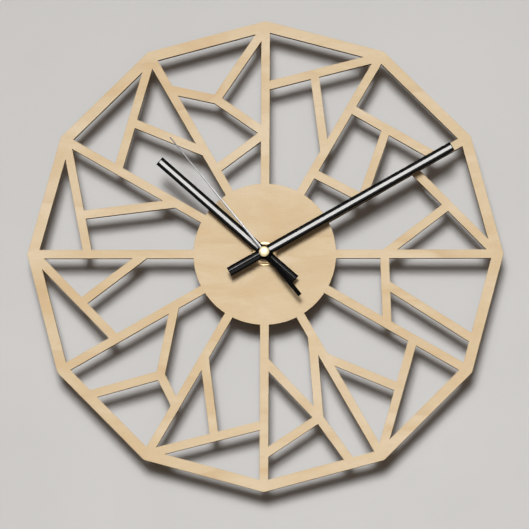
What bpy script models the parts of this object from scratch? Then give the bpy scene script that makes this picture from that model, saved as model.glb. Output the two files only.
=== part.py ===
"""Wall clock with an open lattice dial plate, a boxed quartz movement and three hands.

The hand axis runs through the origin along Y. The wall is the plane Y = 0, the dial plate
faces -Y, +Z is up and +X is to the right of a person who reads the clock.
"""

import math

import bmesh
import bpy
from mathutils import Vector

# Dial plate
PLATE_RADIUS = 0.150
PLATE_THICKNESS = 0.0030
RIM_WIDTH = 0.0068
STRUT_WIDTH = 0.0055
DISC_RADIUS = 0.045
HOURS = 12
ARC_STEPS_PER_HOUR = 5

# Clearances
SEAT_GAP = 0.0002
FIT_GAP = 0.00005
RUN_GAP = 0.00025
OVERRUN = 0.0010
WELD = 1e-7

# Movement case
CASE_SIDE = 0.056
CASE_DEPTH = 0.016
CASE_CORNER_RADIUS = 0.0025
CASE_WALL = 0.0012
FRONT_WALL = 0.0012
BAY_FLOOR = 0.0006
CHAMBER_SPACE = 0.0022
COVER_THICKNESS = 0.0015
POST_SIDE = 0.0040
SCREW_HEAD_RADIUS = 0.0014
SCREW_HEAD_HEIGHT = 0.0009
SCREW_SHANK_RADIUS = 0.0007
SCREW_LENGTH = 0.0060
SCREW_RECESS_LENGTH = 0.0018
SCREW_RECESS_WIDTH = 0.0004
SCREW_RECESS_DEPTH = 0.0004
COVER_GROOVE_INSET = 0.0045
COVER_GROOVE_WIDTH = 0.0008
COVER_GROOVE_DEPTH = 0.0003
KNOB_RING_SPACE = 0.0014
CORNER_STEPS = 4

# Battery and its bay
BATTERY_RADIUS = 0.0071
BATTERY_BODY_LENGTH = 0.0492
BATTERY_NUB_RADIUS = 0.00275
BATTERY_NUB_LENGTH = 0.0012
BATTERY_EDGE = 0.0006
BATTERY_PLAY = 0.0004
BAY_END_SPACE = 0.0016
CONTACT_THICKNESS = 0.0003
CONTACT_WIDTH = 0.0080

# Hanger loop on top of the case
HANGER_WIDTH = 0.0200
HANGER_HEIGHT = 0.0110
HANGER_THICKNESS = 0.0028
HANGER_FOOT_HEIGHT = 0.0020
HANGER_FOOT_DEPTH = 0.0090
HANGER_HOLE_WIDTH = 0.0090
HANGER_HOLE_HEIGHT = 0.0056

# Arbors and tubes of the hands, one inside the other
SECOND_ARBOR_RADIUS = 0.00050
ARBOR_RADIUS = 0.00035
MOTION_SHAFT_RADIUS = 0.00090
TUBE_WALL = 0.0007
TUBE_PLAY = 0.0003
SECOND_ARBOR_PLAY = 0.0004

# Threaded bushing, gasket, washer and nut that clamp the plate
BUSHING_WALL = 0.0010
BUSHING_FLANGE_WIDTH = 0.0023
BUSHING_FLANGE_THICKNESS = 0.0006
THREAD_DEPTH = 0.00035
THREAD_PITCH = 0.00075
GASKET_WIDTH = 0.0071
GASKET_THICKNESS = 0.0010
WASHER_WIDTH = 0.0036
WASHER_THICKNESS = 0.0006
NUT_WALL = 0.0021
NUT_THICKNESS = 0.0025
NUT_CHAMFER = 0.0008
BUSHING_PROUD = 0.0014

# Hands
HAND_WIDTH = 0.0060
HAND_THICKNESS = 0.0006
RIB_WIDTH = 0.0040
RIB_HEIGHT = 0.0005
RIB_INSET = 0.0005
RIB_STEPS = 10
INLAY_WIDTH = 0.0019
INLAY_THICKNESS = 0.00025
HUB_WALL = 0.0020
HUB_HEIGHT = 0.0009
HAND_SPACE = 0.0006
HOUR_HAND_LENGTH = 0.0887
HOUR_HAND_TAIL = 0.0259
HOUR_HAND_ANGLE = 311.4
MINUTE_HAND_LENGTH = 0.1357
MINUTE_HAND_TAIL = 0.0254
MINUTE_HAND_ANGLE = 60.3
SECOND_HAND_LENGTH = 0.0943
SECOND_HAND_TAIL = 0.0356
SECOND_HAND_ANGLE = 320.7
SECOND_HAND_WIDTH = 0.0014
SECOND_HAND_TIP_WIDTH = 0.0007
SECOND_TAIL_WIDTH = 0.0026
SECOND_HAND_THICKNESS = 0.0003
NEEDLE_RIDGE_HEIGHT = 0.0001
SOCKET_WALL = 0.0006
SOCKET_HEIGHT = 0.0010
CAP_RADIUS = 0.00325
CAP_SKIRT = 0.0005
CAP_DOME = 0.0014

# Gear train
THIRD_DISTANCE = 0.0092
ROTOR_DISTANCE = 0.0070
ARBOR_SPACE = 0.0003
THIRD_BEARING = 300.0
INTERMEDIATE_BEARING = 20.0
ROTOR_BEARING = 59.0
MOTION_BEARING = 80.0
WHEEL_THICKNESS = 0.0007
PINION_OVERHANG = 0.00015
BRIDGE_THICKNESS = 0.0009
BRIDGE_MARGIN = 0.0028
PILLAR_RADIUS = 0.0015
PILLAR_SPACE = 0.0006
SET_KNOB_RADIUS = 0.0045
SET_KNOB_THICKNESS = 0.0017
SET_KNOB_RIDGES = 20
SET_KNOB_RIDGE_HEIGHT = 0.0004
SET_KNOB_SLOT_LENGTH = 0.0060
SET_KNOB_SLOT_WIDTH = 0.0010
SET_KNOB_SLOT_DEPTH = 0.0002
MAGNET_RADIUS = 0.0017
MAGNET_LENGTH = 0.0028
ROTOR_PIVOT_LENGTH = 0.0012

# Fronts of the layers inside the case, as shares of its inner depth from the wall plane
BRIDGE_SHARE = 0.230
INTERMEDIATE_WHEEL_SHARE = 0.331
SECOND_WHEEL_SHARE = 0.466
THIRD_WHEEL_SHARE = 0.581
BOARD_SHARE = 0.690
MAGNET_SHARE = 0.703
CENTRE_WHEEL_SHARE = 0.784
MOTION_WHEEL_SHARE = 0.885
HOUR_WHEEL_SHARE = 0.973

# Motor coil, stator and circuit board
STATOR_THICKNESS = 0.0008
STATOR_ARM = 0.0030
STATOR_LEFT_REACH = 0.0046
STATOR_DROP = 0.0044
STATOR_SIDE_SPACE = 0.0018
STATOR_TOP_SPACE = 0.0006
MAGNET_SPACE = 0.0005
CORE_THICKNESS = 0.0008
CORE_HEIGHT = 0.0030
COIL_THICKNESS = 0.0010
COIL_SPACE = 0.0010
BOBBIN_FLANGE_RIM = 0.0003
BOBBIN_FLANGE_THICKNESS = 0.0006
BOBBIN_BARREL_WALL = 0.0004
BOARD_WIDTH = 0.0180
BOARD_HEIGHT = 0.0115
BOARD_THICKNESS = 0.0010
BOARD_SIDE_SPACE = 0.0006
BOARD_TOP_SPACE = 0.0008
BOARD_POST_INSET = 0.0018
CHIP_RADIUS = 0.0030
CHIP_HEIGHT = 0.0012
CRYSTAL_RADIUS = 0.0010
CRYSTAL_LENGTH = 0.0060

# Teeth: widths as shares of the tooth pitch, heights as shares of the module
WHEEL_TIP_SHARE = 0.16
WHEEL_ROOT_SHARE = 0.54
PINION_TIP_SHARE = 0.16
PINION_ROOT_SHARE = 0.36
ADDENDUM_SHARE = 0.85
DEDENDUM_SHARE = 1.30
ROTOR_PINION_TEETH = 8
INTERMEDIATE_TEETH = 48
INTERMEDIATE_PINION_TEETH = 8
SECOND_TEETH = 40
SECOND_PINION_TEETH = 8
THIRD_TEETH = 60
THIRD_PINION_TEETH = 8
CENTRE_TEETH = 64
MINUTE_PINION_TEETH = 12
MOTION_TEETH = 36
MOTION_PINION_TEETH = 8
HOUR_TEETH = 32

# Round pieces
FINE_STEPS = 40
ROUND_STEPS = 28
SMALL_STEPS = 16

# Radii of the tubes, from the inside out
MINUTE_TUBE_BORE_RADIUS = SECOND_ARBOR_RADIUS + SECOND_ARBOR_PLAY
MINUTE_TUBE_RADIUS = MINUTE_TUBE_BORE_RADIUS + TUBE_WALL
HOUR_TUBE_BORE_RADIUS = MINUTE_TUBE_RADIUS + TUBE_PLAY
HOUR_TUBE_RADIUS = HOUR_TUBE_BORE_RADIUS + TUBE_WALL
BUSHING_BORE_RADIUS = HOUR_TUBE_RADIUS + TUBE_PLAY
BUSHING_RADIUS = BUSHING_BORE_RADIUS + BUSHING_WALL
BUSHING_HOLE_RADIUS = BUSHING_RADIUS + RUN_GAP
BUSHING_FLANGE_RADIUS = BUSHING_RADIUS + BUSHING_FLANGE_WIDTH
GASKET_RADIUS = BUSHING_RADIUS + GASKET_WIDTH
WASHER_RADIUS = BUSHING_RADIUS + WASHER_WIDTH
NUT_HALF_FLATS = BUSHING_RADIUS + NUT_WALL
HUB_RADIUS = HOUR_TUBE_RADIUS + HUB_WALL
SOCKET_RADIUS = SECOND_ARBOR_RADIUS + SOCKET_WALL

# Depths, counted forward from the wall plane
FRONT_INSIDE = CASE_DEPTH - FRONT_WALL
BRIDGE_DEPTH = BRIDGE_SHARE * FRONT_INSIDE
INTERMEDIATE_WHEEL_DEPTH = INTERMEDIATE_WHEEL_SHARE * FRONT_INSIDE
SECOND_WHEEL_DEPTH = SECOND_WHEEL_SHARE * FRONT_INSIDE
THIRD_WHEEL_DEPTH = THIRD_WHEEL_SHARE * FRONT_INSIDE
BOARD_DEPTH = BOARD_SHARE * FRONT_INSIDE
MAGNET_DEPTH = MAGNET_SHARE * FRONT_INSIDE
STATOR_DEPTH = MAGNET_DEPTH - (MAGNET_LENGTH - STATOR_THICKNESS) / 2
CENTRE_WHEEL_DEPTH = CENTRE_WHEEL_SHARE * FRONT_INSIDE
MOTION_WHEEL_DEPTH = MOTION_WHEEL_SHARE * FRONT_INSIDE
HOUR_WHEEL_DEPTH = HOUR_WHEEL_SHARE * FRONT_INSIDE
BATTERY_DEPTH = CASE_DEPTH - BAY_FLOOR - SEAT_GAP - BATTERY_RADIUS
GASKET_DEPTH = CASE_DEPTH + SEAT_GAP
PLATE_DEPTH = GASKET_DEPTH + GASKET_THICKNESS + SEAT_GAP
PLATE_FRONT = PLATE_DEPTH + PLATE_THICKNESS
WASHER_DEPTH = PLATE_FRONT + SEAT_GAP
NUT_DEPTH = WASHER_DEPTH + WASHER_THICKNESS + SEAT_GAP
BUSHING_END = NUT_DEPTH + NUT_THICKNESS + BUSHING_PROUD
HOUR_HAND_DEPTH = BUSHING_END + HAND_SPACE
HAND_HEIGHT = HAND_THICKNESS + RIB_HEIGHT
MINUTE_HAND_DEPTH = HOUR_HAND_DEPTH + HAND_HEIGHT + 2 * HAND_SPACE
SECOND_HAND_DEPTH = MINUTE_HAND_DEPTH + HAND_HEIGHT + SOCKET_HEIGHT
CAP_DEPTH = SECOND_HAND_DEPTH + SECOND_HAND_THICKNESS + NEEDLE_RIDGE_HEIGHT + FIT_GAP
PIVOT_BACK = BRIDGE_DEPTH - BRIDGE_THICKNESS
PIVOT_END = FRONT_INSIDE + FRONT_WALL / 2
ROTOR_FRONT = MAGNET_DEPTH + ROTOR_PIVOT_LENGTH
KNOB_DEPTH = PIVOT_BACK - SEAT_GAP

# Where the struts of the plate meet: a clock hour and a share of the plate's corner radius.
# A path that starts or ends at a share of 1 runs into the rim.
OUTER_RING_SHARE = 0.718
INNER_RING_SHARE = 0.502
STRUT_PATHS_SHARES = (
    ((0, OUTER_RING_SHARE), (1, 1.0)),
    ((0.5, 0.798), (1, INNER_RING_SHARE)),
    ((1, OUTER_RING_SHARE), (2, 0.828)),
    ((1.461, 0.740), (2, 0.473)),
    ((1, 0.400), (2, 0.473)),
    ((2, OUTER_RING_SHARE), (3, 1.0)),
    ((2.5, 0.798), (3, INNER_RING_SHARE)),
    ((3, INNER_RING_SHARE), (4, 0.592)),
    ((3.466, 0.524), (3.743, 1.0)),
    ((4, OUTER_RING_SHARE), (5, 1.0)),
    ((5, INNER_RING_SHARE), (4.5, 0.798)),
    ((5, 0.400), (5.388, 0.728), (6, 0.844)),
    ((5.388, 0.728), (6, 0.450)),
    ((5.388, 0.728), (5.255, 1.0)),
    ((6, OUTER_RING_SHARE), (7, 1.0)),
    ((7, INNER_RING_SHARE), (6.5, 0.798)),
    ((7, 0.738), (7.346, 0.670), (8, 0.434)),
    ((7.346, 0.670), (7.693, 1.0)),
    ((8, OUTER_RING_SHARE), (9, 1.0)),
    ((8.5, 0.798), (9, INNER_RING_SHARE)),
    ((9, 0.744), (10, 1.0)),
    ((9.402, 0.796), (10, 0.433)),
    ((10, OUTER_RING_SHARE), (11, 1.0)),
    ((10.5, 0.798), (11, INNER_RING_SHARE)),
    ((0, 1.0), (11.419, 0.6935), (11, 0.814)),
    ((11.419, 0.6935), (0, 0.517)),
    ((0, 0.517), (11, 0.416)),
)


def remove_startup_objects():
    """Empty the scene."""
    for thing in list(bpy.data.objects):
        bpy.data.objects.remove(thing, do_unlink=True)


def make_material(name, colour, roughness, metallic=0.0):
    """A Principled material of one colour."""
    made = bpy.data.materials.new(name)
    made.use_nodes = True
    shader = made.node_tree.nodes["Principled BSDF"]
    shader.inputs["Base Color"].default_value = (*colour, 1.0)
    shader.inputs["Roughness"].default_value = roughness
    shader.inputs["Metallic"].default_value = metallic
    made.diffuse_color = (*colour, 1.0)
    return made


def add_object(name, shape, centre=(0.0, 0.0)):
    """Put a bmesh into the scene as an object whose origin is at centre, an X and Z place."""
    bmesh.ops.recalc_face_normals(shape, faces=shape.faces)
    mesh = bpy.data.meshes.new(name)
    shape.to_mesh(mesh)
    shape.free()
    made = bpy.data.objects.new(name, mesh)
    made.location = (centre[0], 0.0, centre[1])
    bpy.context.scene.collection.objects.link(made)
    return made


def shade(thing, paint):
    """Give an object its material and smooth its round faces."""
    thing.data.materials.clear()
    thing.data.materials.append(paint)
    thing.data.shade_smooth()
    thing.data.set_sharp_from_angle(angle=math.radians(35))
    return thing


def combine(thing, others, operation):
    """Join or cut an object with others, which are used up."""
    for other in others:
        step = thing.modifiers.new(operation.title(), "BOOLEAN")
        step.operation = operation
        step.solver = "EXACT"
        step.object = other
    bpy.context.view_layer.update()
    seen = thing.evaluated_get(bpy.context.evaluated_depsgraph_get())
    mesh = bpy.data.meshes.new_from_object(seen)
    thing.modifiers.clear()
    thing.data = mesh
    for other in others:
        bpy.data.objects.remove(other, do_unlink=True)
    return thing


def clock_point(hour, radius):
    """The place on the Y = 0 plane at a clock hour and a distance from the hand axis."""
    turn = math.tau * hour / HOURS
    return Vector((radius * math.sin(turn), 0.0, radius * math.cos(turn)))


def bearing_place(degrees, distance, start=(0.0, 0.0)):
    """The X and Z place at a clockwise bearing and distance from a start."""
    turn = math.radians(degrees)
    return (start[0] + distance * math.sin(turn), start[1] + distance * math.cos(turn))


def circle_outline(radius, steps, centre=(0.0, 0.0)):
    """A round outline of X and Z places."""
    turns = [math.tau * step / steps for step in range(steps)]
    return [(centre[0] + radius * math.sin(t), centre[1] + radius * math.cos(t)) for t in turns]


def box_outline(left, right, bottom, top):
    """A rectangular outline of X and Z places."""
    return [(left, bottom), (right, bottom), (right, top), (left, top)]


def round_box_outline(left, right, bottom, top, radius):
    """A rectangle with round corners."""
    corners = (
        (right - radius, top - radius, 0),
        (right - radius, bottom + radius, 1),
        (left + radius, bottom + radius, 2),
        (left + radius, top - radius, 3),
    )
    outline = []
    for x, z, quarter in corners:
        for step in range(CORNER_STEPS + 1):
            turn = math.pi / 2 * (quarter + step / CORNER_STEPS)
            outline.append((x + radius * math.sin(turn), z + radius * math.cos(turn)))
    return outline


def prism(outline, back, front, holes=()):
    """A flat piece between two depths, with an outline and holes given as X and Z places."""
    shape = bmesh.new()
    edges = []
    for loop in (outline, *holes):
        verts = [shape.verts.new((x, -back, z)) for x, z in loop]
        edges += [shape.edges.new((a, b)) for a, b in zip(verts, verts[1:] + verts[:1])]
    if holes:
        bmesh.ops.triangle_fill(shape, edges=edges, use_beauty=True, normal=(0.0, 1.0, 0.0))
    else:
        shape.faces.new(shape.verts)
    thicken(shape, back - front)
    return shape


def thicken(shape, travel):
    """Extrude flat faces along Y."""
    grown = bmesh.ops.extrude_face_region(shape, geom=shape.faces[:])
    moved = [item for item in grown["geom"] if isinstance(item, bmesh.types.BMVert)]
    bmesh.ops.translate(shape, verts=moved, vec=(0.0, travel, 0.0))


def lathe(profile, steps, closed=False):
    """Turn a profile of radius and depth places about the Y axis."""
    shape = bmesh.new()
    verts = [shape.verts.new((radius, -depth, 0.0)) for radius, depth in profile]
    ends = verts[1:] + verts[:1] if closed else verts[1:]
    edges = [shape.edges.new(pair) for pair in zip(verts, ends)]
    bmesh.ops.spin(
        shape,
        geom=verts + edges,
        cent=(0.0, 0.0, 0.0),
        axis=(0.0, 1.0, 0.0),
        angle=math.tau,
        steps=steps,
    )
    bmesh.ops.remove_doubles(shape, verts=shape.verts, dist=WELD)
    return shape


def cylinder(radius, back, front, steps=SMALL_STEPS):
    """A plain rod along Y."""
    return prism(circle_outline(radius, steps), back, front)


def hole_outline(radius, steps, centre=(0.0, 0.0)):
    """A round outline whose flats, not its corners, are at the radius."""
    return circle_outline(radius / math.cos(math.pi / steps), steps, centre)


def drill(radius, back, front, steps=SMALL_STEPS):
    """A cutter for a round hole along Y that clears a rod of the radius at any turn."""
    return prism(hole_outline(radius, steps), back, front)


def tube(outer, inner, back, front, steps=ROUND_STEPS):
    """A plain tube along Y."""
    return prism(circle_outline(outer, steps), back, front, [hole_outline(inner, steps)])


def net_vertex(net, place):
    """The vertex of the strut net at a place, made on the nearest edge if there is none."""
    nearest = min(net.verts, key=lambda vert: (vert.co - place).length)
    if (nearest.co - place).length < STRUT_WIDTH / 2:
        return nearest

    def reach(edge):
        start, end = (vert.co for vert in edge.verts)
        share = (place - start).dot(end - start) / (end - start).length_squared
        share = min(max(share, 0.0), 1.0)
        return (start.lerp(end, share) - place).length, share

    edge = min(net.edges, key=lambda item: reach(item)[0])
    return bmesh.utils.edge_split(edge, edge.verts[0], reach(edge)[1])[1]


def strut_net():
    """The centre lines of the plate's spokes and struts, with one face for each window."""
    net = bmesh.new()
    corner_radius = net_reach() / math.cos(math.pi / HOURS)
    disc_edge = DISC_RADIUS - STRUT_WIDTH / 2
    arc_steps = HOURS * ARC_STEPS_PER_HOUR
    arc = [net.verts.new(clock_point(HOURS * n / arc_steps, disc_edge)) for n in range(arc_steps)]
    corners = [net.verts.new(clock_point(hour, corner_radius)) for hour in range(HOURS)]
    for hour in range(HOURS):
        first = hour * ARC_STEPS_PER_HOUR
        run = [arc[(first + n) % arc_steps] for n in range(ARC_STEPS_PER_HOUR + 1)]
        net.faces.new(run + [corners[(hour + 1) % HOURS], corners[hour]])
    for path in STRUT_PATHS_SHARES:
        places = [clock_point(hour, min(share * PLATE_RADIUS, corner_radius)) for hour, share in path]
        start = net_vertex(net, places[0])
        end = net_vertex(net, places[-1])
        window = (set(start.link_faces) & set(end.link_faces)).pop()
        bmesh.utils.face_split(window, start, end, coords=places[1:-1])
    return net


def net_reach():
    """How far the sides of the net are from the hand axis, half a strut inside the rim."""
    return PLATE_RADIUS * math.cos(math.pi / HOURS) - RIM_WIDTH + STRUT_WIDTH / 2


def side_distance(place):
    """How far out a place lies, measured square to the rim side that it is nearest to."""
    return max(place.dot(clock_point(hour + 1 / 2, 1.0)) for hour in range(HOURS))


def fill_between(sheet, border, places):
    """Fill the flat space between a border of the sheet and a new loop."""
    verts = [sheet.verts.new(place) for place in places]
    loop = [sheet.edges.new(pair) for pair in zip(verts, verts[1:] + verts[:1])]
    up = (0.0, 1.0, 0.0)
    bmesh.ops.triangle_fill(sheet, edges=border + loop, use_beauty=True, normal=up)


def make_dial_plate(paint):
    """The laser cut lattice: rim, spokes, struts and centre disc in one sheet."""
    sheet = strut_net()
    sheet.normal_update()
    windows = sheet.faces[:]
    half = STRUT_WIDTH / 2
    bmesh.ops.inset_individual(sheet, faces=windows, thickness=half, use_even_offset=True)
    bmesh.ops.delete(sheet, geom=windows, context="FACES")
    disc_border = []
    rim_border = []
    for edge in [edge for edge in sheet.edges if edge.is_boundary]:
        if max(vert.co.length for vert in edge.verts) < DISC_RADIUS - half / 2:
            disc_border.append(edge)
        elif min(side_distance(vert.co) for vert in edge.verts) > net_reach() - half / 2:
            rim_border.append(edge)
    fill_between(sheet, rim_border, [clock_point(hour, PLATE_RADIUS) for hour in range(HOURS)])
    hole = circle_outline(BUSHING_HOLE_RADIUS, ROUND_STEPS)
    fill_between(sheet, disc_border, [(x, 0.0, z) for x, z in hole])
    bmesh.ops.translate(sheet, verts=sheet.verts, vec=(0.0, -PLATE_DEPTH, 0.0))
    thicken(sheet, -PLATE_THICKNESS)
    return shade(add_object("dial_plate", sheet), paint)


def gear_outline(teeth, module, tip_share, root_share, first_tooth):
    """The outline of a toothed wheel, with one tooth centred on the bearing first_tooth."""
    pitch_radius = teeth * module / 2
    tip = pitch_radius + ADDENDUM_SHARE * module
    root = pitch_radius - DEDENDUM_SHARE * module
    corners = ((-root_share, root), (-tip_share, tip), (tip_share, tip), (root_share, root))
    outline = []
    for tooth in range(teeth):
        for width, radius in corners:
            bearing = first_tooth + 360.0 * (tooth + width / 2) / teeth
            outline.append(bearing_place(bearing, radius))
    return outline


def mesh_module(distance, teeth, mate_teeth):
    """The module that two wheels need at their centre distance."""
    return 2 * distance / (teeth + mate_teeth)


def tip_radius(teeth, distance, mate_teeth):
    """How far the teeth of a wheel reach from its centre."""
    return (teeth / 2 + ADDENDUM_SHARE) * mesh_module(distance, teeth, mate_teeth)


def wheel_outline(teeth, distance, mate_teeth, mate_bearing):
    """A wheel whose tooth gap faces its pinion."""
    module = mesh_module(distance, teeth, mate_teeth)
    first_tooth = mate_bearing + 180.0 / teeth
    return gear_outline(teeth, module, WHEEL_TIP_SHARE, WHEEL_ROOT_SHARE, first_tooth)


def pinion_outline(teeth, distance, mate_teeth, mate_bearing):
    """A pinion whose tooth faces its wheel."""
    module = mesh_module(distance, teeth, mate_teeth)
    return gear_outline(teeth, module, PINION_TIP_SHARE, PINION_ROOT_SHARE, mate_bearing)


def wheel(outline, depth, holes=()):
    """A toothed disc whose front is at a depth."""
    return prism(outline, depth - WHEEL_THICKNESS, depth, holes)


def pinion(outline, depth, holes=()):
    """A pinion that is a little longer than the wheel it turns with."""
    back = depth - WHEEL_THICKNESS - PINION_OVERHANG
    return prism(outline, back, depth + PINION_OVERHANG, holes)


def make_arbor_wheel(name, centre, parts, paint, back, front, radius):
    """A wheel and its pinion on one arbor."""
    made = add_object(name, cylinder(radius, back, front), centre)
    others = [add_object(name + "_part", part, centre) for part in parts]
    return shade(combine(made, others, "UNION"), paint)


# Centres of the wheels. Two arbors stand just clear of the centre wheel's teeth.
CENTRE_TIP_RADIUS = tip_radius(CENTRE_TEETH, THIRD_DISTANCE, THIRD_PINION_TEETH)
INTERMEDIATE_DISTANCE = CENTRE_TIP_RADIUS + ARBOR_RADIUS + ARBOR_SPACE
MOTION_DISTANCE = CENTRE_TIP_RADIUS + MOTION_SHAFT_RADIUS + ARBOR_SPACE
THIRD_CENTRE = bearing_place(THIRD_BEARING, THIRD_DISTANCE)
INTERMEDIATE_CENTRE = bearing_place(INTERMEDIATE_BEARING, INTERMEDIATE_DISTANCE)
ROTOR_CENTRE = bearing_place(ROTOR_BEARING, ROTOR_DISTANCE, INTERMEDIATE_CENTRE)
MOTION_CENTRE = bearing_place(MOTION_BEARING, MOTION_DISTANCE)

# The inside of the case, in X and Z
HALF_CASE = CASE_SIDE / 2
CHAMBER_HALF = HALF_CASE - CASE_WALL
CHAMBER_BOTTOM = -CENTRE_TIP_RADIUS - CHAMBER_SPACE
BATTERY_LENGTH = BATTERY_BODY_LENGTH + BATTERY_NUB_LENGTH
BAY_HALF_LENGTH = BATTERY_LENGTH / 2 + BAY_END_SPACE
BAY_HALF_HEIGHT = BATTERY_RADIUS + BATTERY_PLAY
BAY_CENTRE_Z = CHAMBER_BOTTOM - CASE_WALL - BAY_HALF_HEIGHT

# The stator, from its rotor hole to the case's corner post, and the coil between its arms
STATOR_LEFT = ROTOR_CENTRE[0] - STATOR_LEFT_REACH
STATOR_RIGHT = CHAMBER_HALF - STATOR_SIDE_SPACE
STATOR_BOTTOM = ROTOR_CENTRE[1] - STATOR_DROP
STATOR_TOP = CHAMBER_HALF - POST_SIDE - STATOR_TOP_SPACE
BOBBIN_BARREL_RADIUS = CORE_HEIGHT / 2 + BOBBIN_BARREL_WALL
COIL_RADIUS = BOBBIN_BARREL_RADIUS + COIL_THICKNESS
BOBBIN_FLANGE_RADIUS = COIL_RADIUS + BOBBIN_FLANGE_RIM
COIL_CENTRE_Z = STATOR_TOP - CORE_HEIGHT / 2
STATOR_WINDOW_BOTTOM = COIL_CENTRE_Z - BOBBIN_FLANGE_RADIUS - COIL_SPACE
BOBBIN_LENGTH = STATOR_RIGHT - STATOR_LEFT - 2 * (STATOR_ARM + COIL_SPACE)
COIL_LENGTH = BOBBIN_LENGTH - 2 * BOBBIN_FLANGE_THICKNESS

# The circuit board, beside the other corner post
BOARD_LEFT = POST_SIDE + BOARD_SIDE_SPACE - CHAMBER_HALF
BOARD_RIGHT = BOARD_LEFT + BOARD_WIDTH
BOARD_TOP = CHAMBER_HALF - BOARD_TOP_SPACE
BOARD_BOTTOM = BOARD_TOP - BOARD_HEIGHT


def make_rotor_pinion(paint):
    """The rotor's arbor, whose pinion drives the intermediate wheel."""
    outline = pinion_outline(
        ROTOR_PINION_TEETH, ROTOR_DISTANCE, INTERMEDIATE_TEETH, ROTOR_BEARING + 180.0
    )
    return make_arbor_wheel(
        "rotor_pinion",
        ROTOR_CENTRE,
        [pinion(outline, INTERMEDIATE_WHEEL_DEPTH)],
        paint,
        PIVOT_BACK,
        ROTOR_FRONT,
        ARBOR_RADIUS,
    )


def make_rotor_magnet(paint):
    """The round magnet that turns inside the stator."""
    back = MAGNET_DEPTH - MAGNET_LENGTH
    magnet = tube(MAGNET_RADIUS, ARBOR_RADIUS + FIT_GAP, back, MAGNET_DEPTH)
    return shade(add_object("rotor_magnet", magnet, ROTOR_CENTRE), paint)


def make_intermediate_wheel(paint):
    """The wheel between the rotor and the second wheel."""
    toothed = wheel_outline(
        INTERMEDIATE_TEETH, ROTOR_DISTANCE, ROTOR_PINION_TEETH, ROTOR_BEARING
    )
    leaves = pinion_outline(
        INTERMEDIATE_PINION_TEETH,
        INTERMEDIATE_DISTANCE,
        SECOND_TEETH,
        INTERMEDIATE_BEARING + 180.0,
    )
    return make_arbor_wheel(
        "intermediate_wheel",
        INTERMEDIATE_CENTRE,
        [wheel(toothed, INTERMEDIATE_WHEEL_DEPTH), pinion(leaves, SECOND_WHEEL_DEPTH)],
        paint,
        PIVOT_BACK,
        PIVOT_END,
        ARBOR_RADIUS,
    )


def make_second_wheel(paint):
    """The second wheel, on the long arbor that carries the second hand."""
    toothed = wheel_outline(
        SECOND_TEETH,
        INTERMEDIATE_DISTANCE,
        INTERMEDIATE_PINION_TEETH,
        INTERMEDIATE_BEARING,
    )
    leaves = pinion_outline(SECOND_PINION_TEETH, THIRD_DISTANCE, THIRD_TEETH, THIRD_BEARING)
    return make_arbor_wheel(
        "second_wheel",
        (0.0, 0.0),
        [wheel(toothed, SECOND_WHEEL_DEPTH), pinion(leaves, THIRD_WHEEL_DEPTH)],
        paint,
        PIVOT_BACK,
        SECOND_HAND_DEPTH,
        SECOND_ARBOR_RADIUS,
    )


def make_third_wheel(paint):
    """The wheel between the second wheel and the centre wheel."""
    bearing = THIRD_BEARING + 180.0
    toothed = wheel_outline(THIRD_TEETH, THIRD_DISTANCE, SECOND_PINION_TEETH, bearing)
    leaves = pinion_outline(THIRD_PINION_TEETH, THIRD_DISTANCE, CENTRE_TEETH, bearing)
    return make_arbor_wheel(
        "third_wheel",
        THIRD_CENTRE,
        [wheel(toothed, THIRD_WHEEL_DEPTH), pinion(leaves, CENTRE_WHEEL_DEPTH)],
        paint,
        PIVOT_BACK,
        PIVOT_END,
        ARBOR_RADIUS,
    )


def make_centre_wheel(paint):
    """The minute wheel, its tube to the minute hand and its pinion for the motion work."""
    middle = circle_outline((MINUTE_TUBE_RADIUS + MINUTE_TUBE_BORE_RADIUS) / 2, SMALL_STEPS)
    centre = wheel_outline(CENTRE_TEETH, THIRD_DISTANCE, THIRD_PINION_TEETH, THIRD_BEARING)
    minute_pinion = pinion_outline(
        MINUTE_PINION_TEETH, MOTION_DISTANCE, MOTION_TEETH, MOTION_BEARING
    )
    shaft = tube(
        MINUTE_TUBE_RADIUS,
        MINUTE_TUBE_BORE_RADIUS,
        CENTRE_WHEEL_DEPTH - WHEEL_THICKNESS - PINION_OVERHANG,
        MINUTE_HAND_DEPTH + HAND_HEIGHT,
        SMALL_STEPS,
    )
    made = add_object("centre_wheel", shaft)
    others = [
        add_object("centre_wheel_teeth", wheel(centre, CENTRE_WHEEL_DEPTH, [middle])),
        add_object("minute_pinion", pinion(minute_pinion, MOTION_WHEEL_DEPTH, [middle])),
    ]
    return shade(combine(made, others, "UNION"), paint)


def make_motion_wheel(paint):
    """The wheel that steps the minute pinion down to the hour wheel, on the setting shaft."""
    motion = wheel_outline(
        MOTION_TEETH, MOTION_DISTANCE, MINUTE_PINION_TEETH, MOTION_BEARING + 180.0
    )
    motion_pinion = pinion_outline(
        MOTION_PINION_TEETH, MOTION_DISTANCE, HOUR_TEETH, MOTION_BEARING + 180.0
    )
    return make_arbor_wheel(
        "motion_wheel",
        MOTION_CENTRE,
        [wheel(motion, MOTION_WHEEL_DEPTH), pinion(motion_pinion, HOUR_WHEEL_DEPTH)],
        paint,
        KNOB_DEPTH - SET_KNOB_THICKNESS / 2,
        HOUR_WHEEL_DEPTH + PINION_OVERHANG,
        MOTION_SHAFT_RADIUS,
    )


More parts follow.
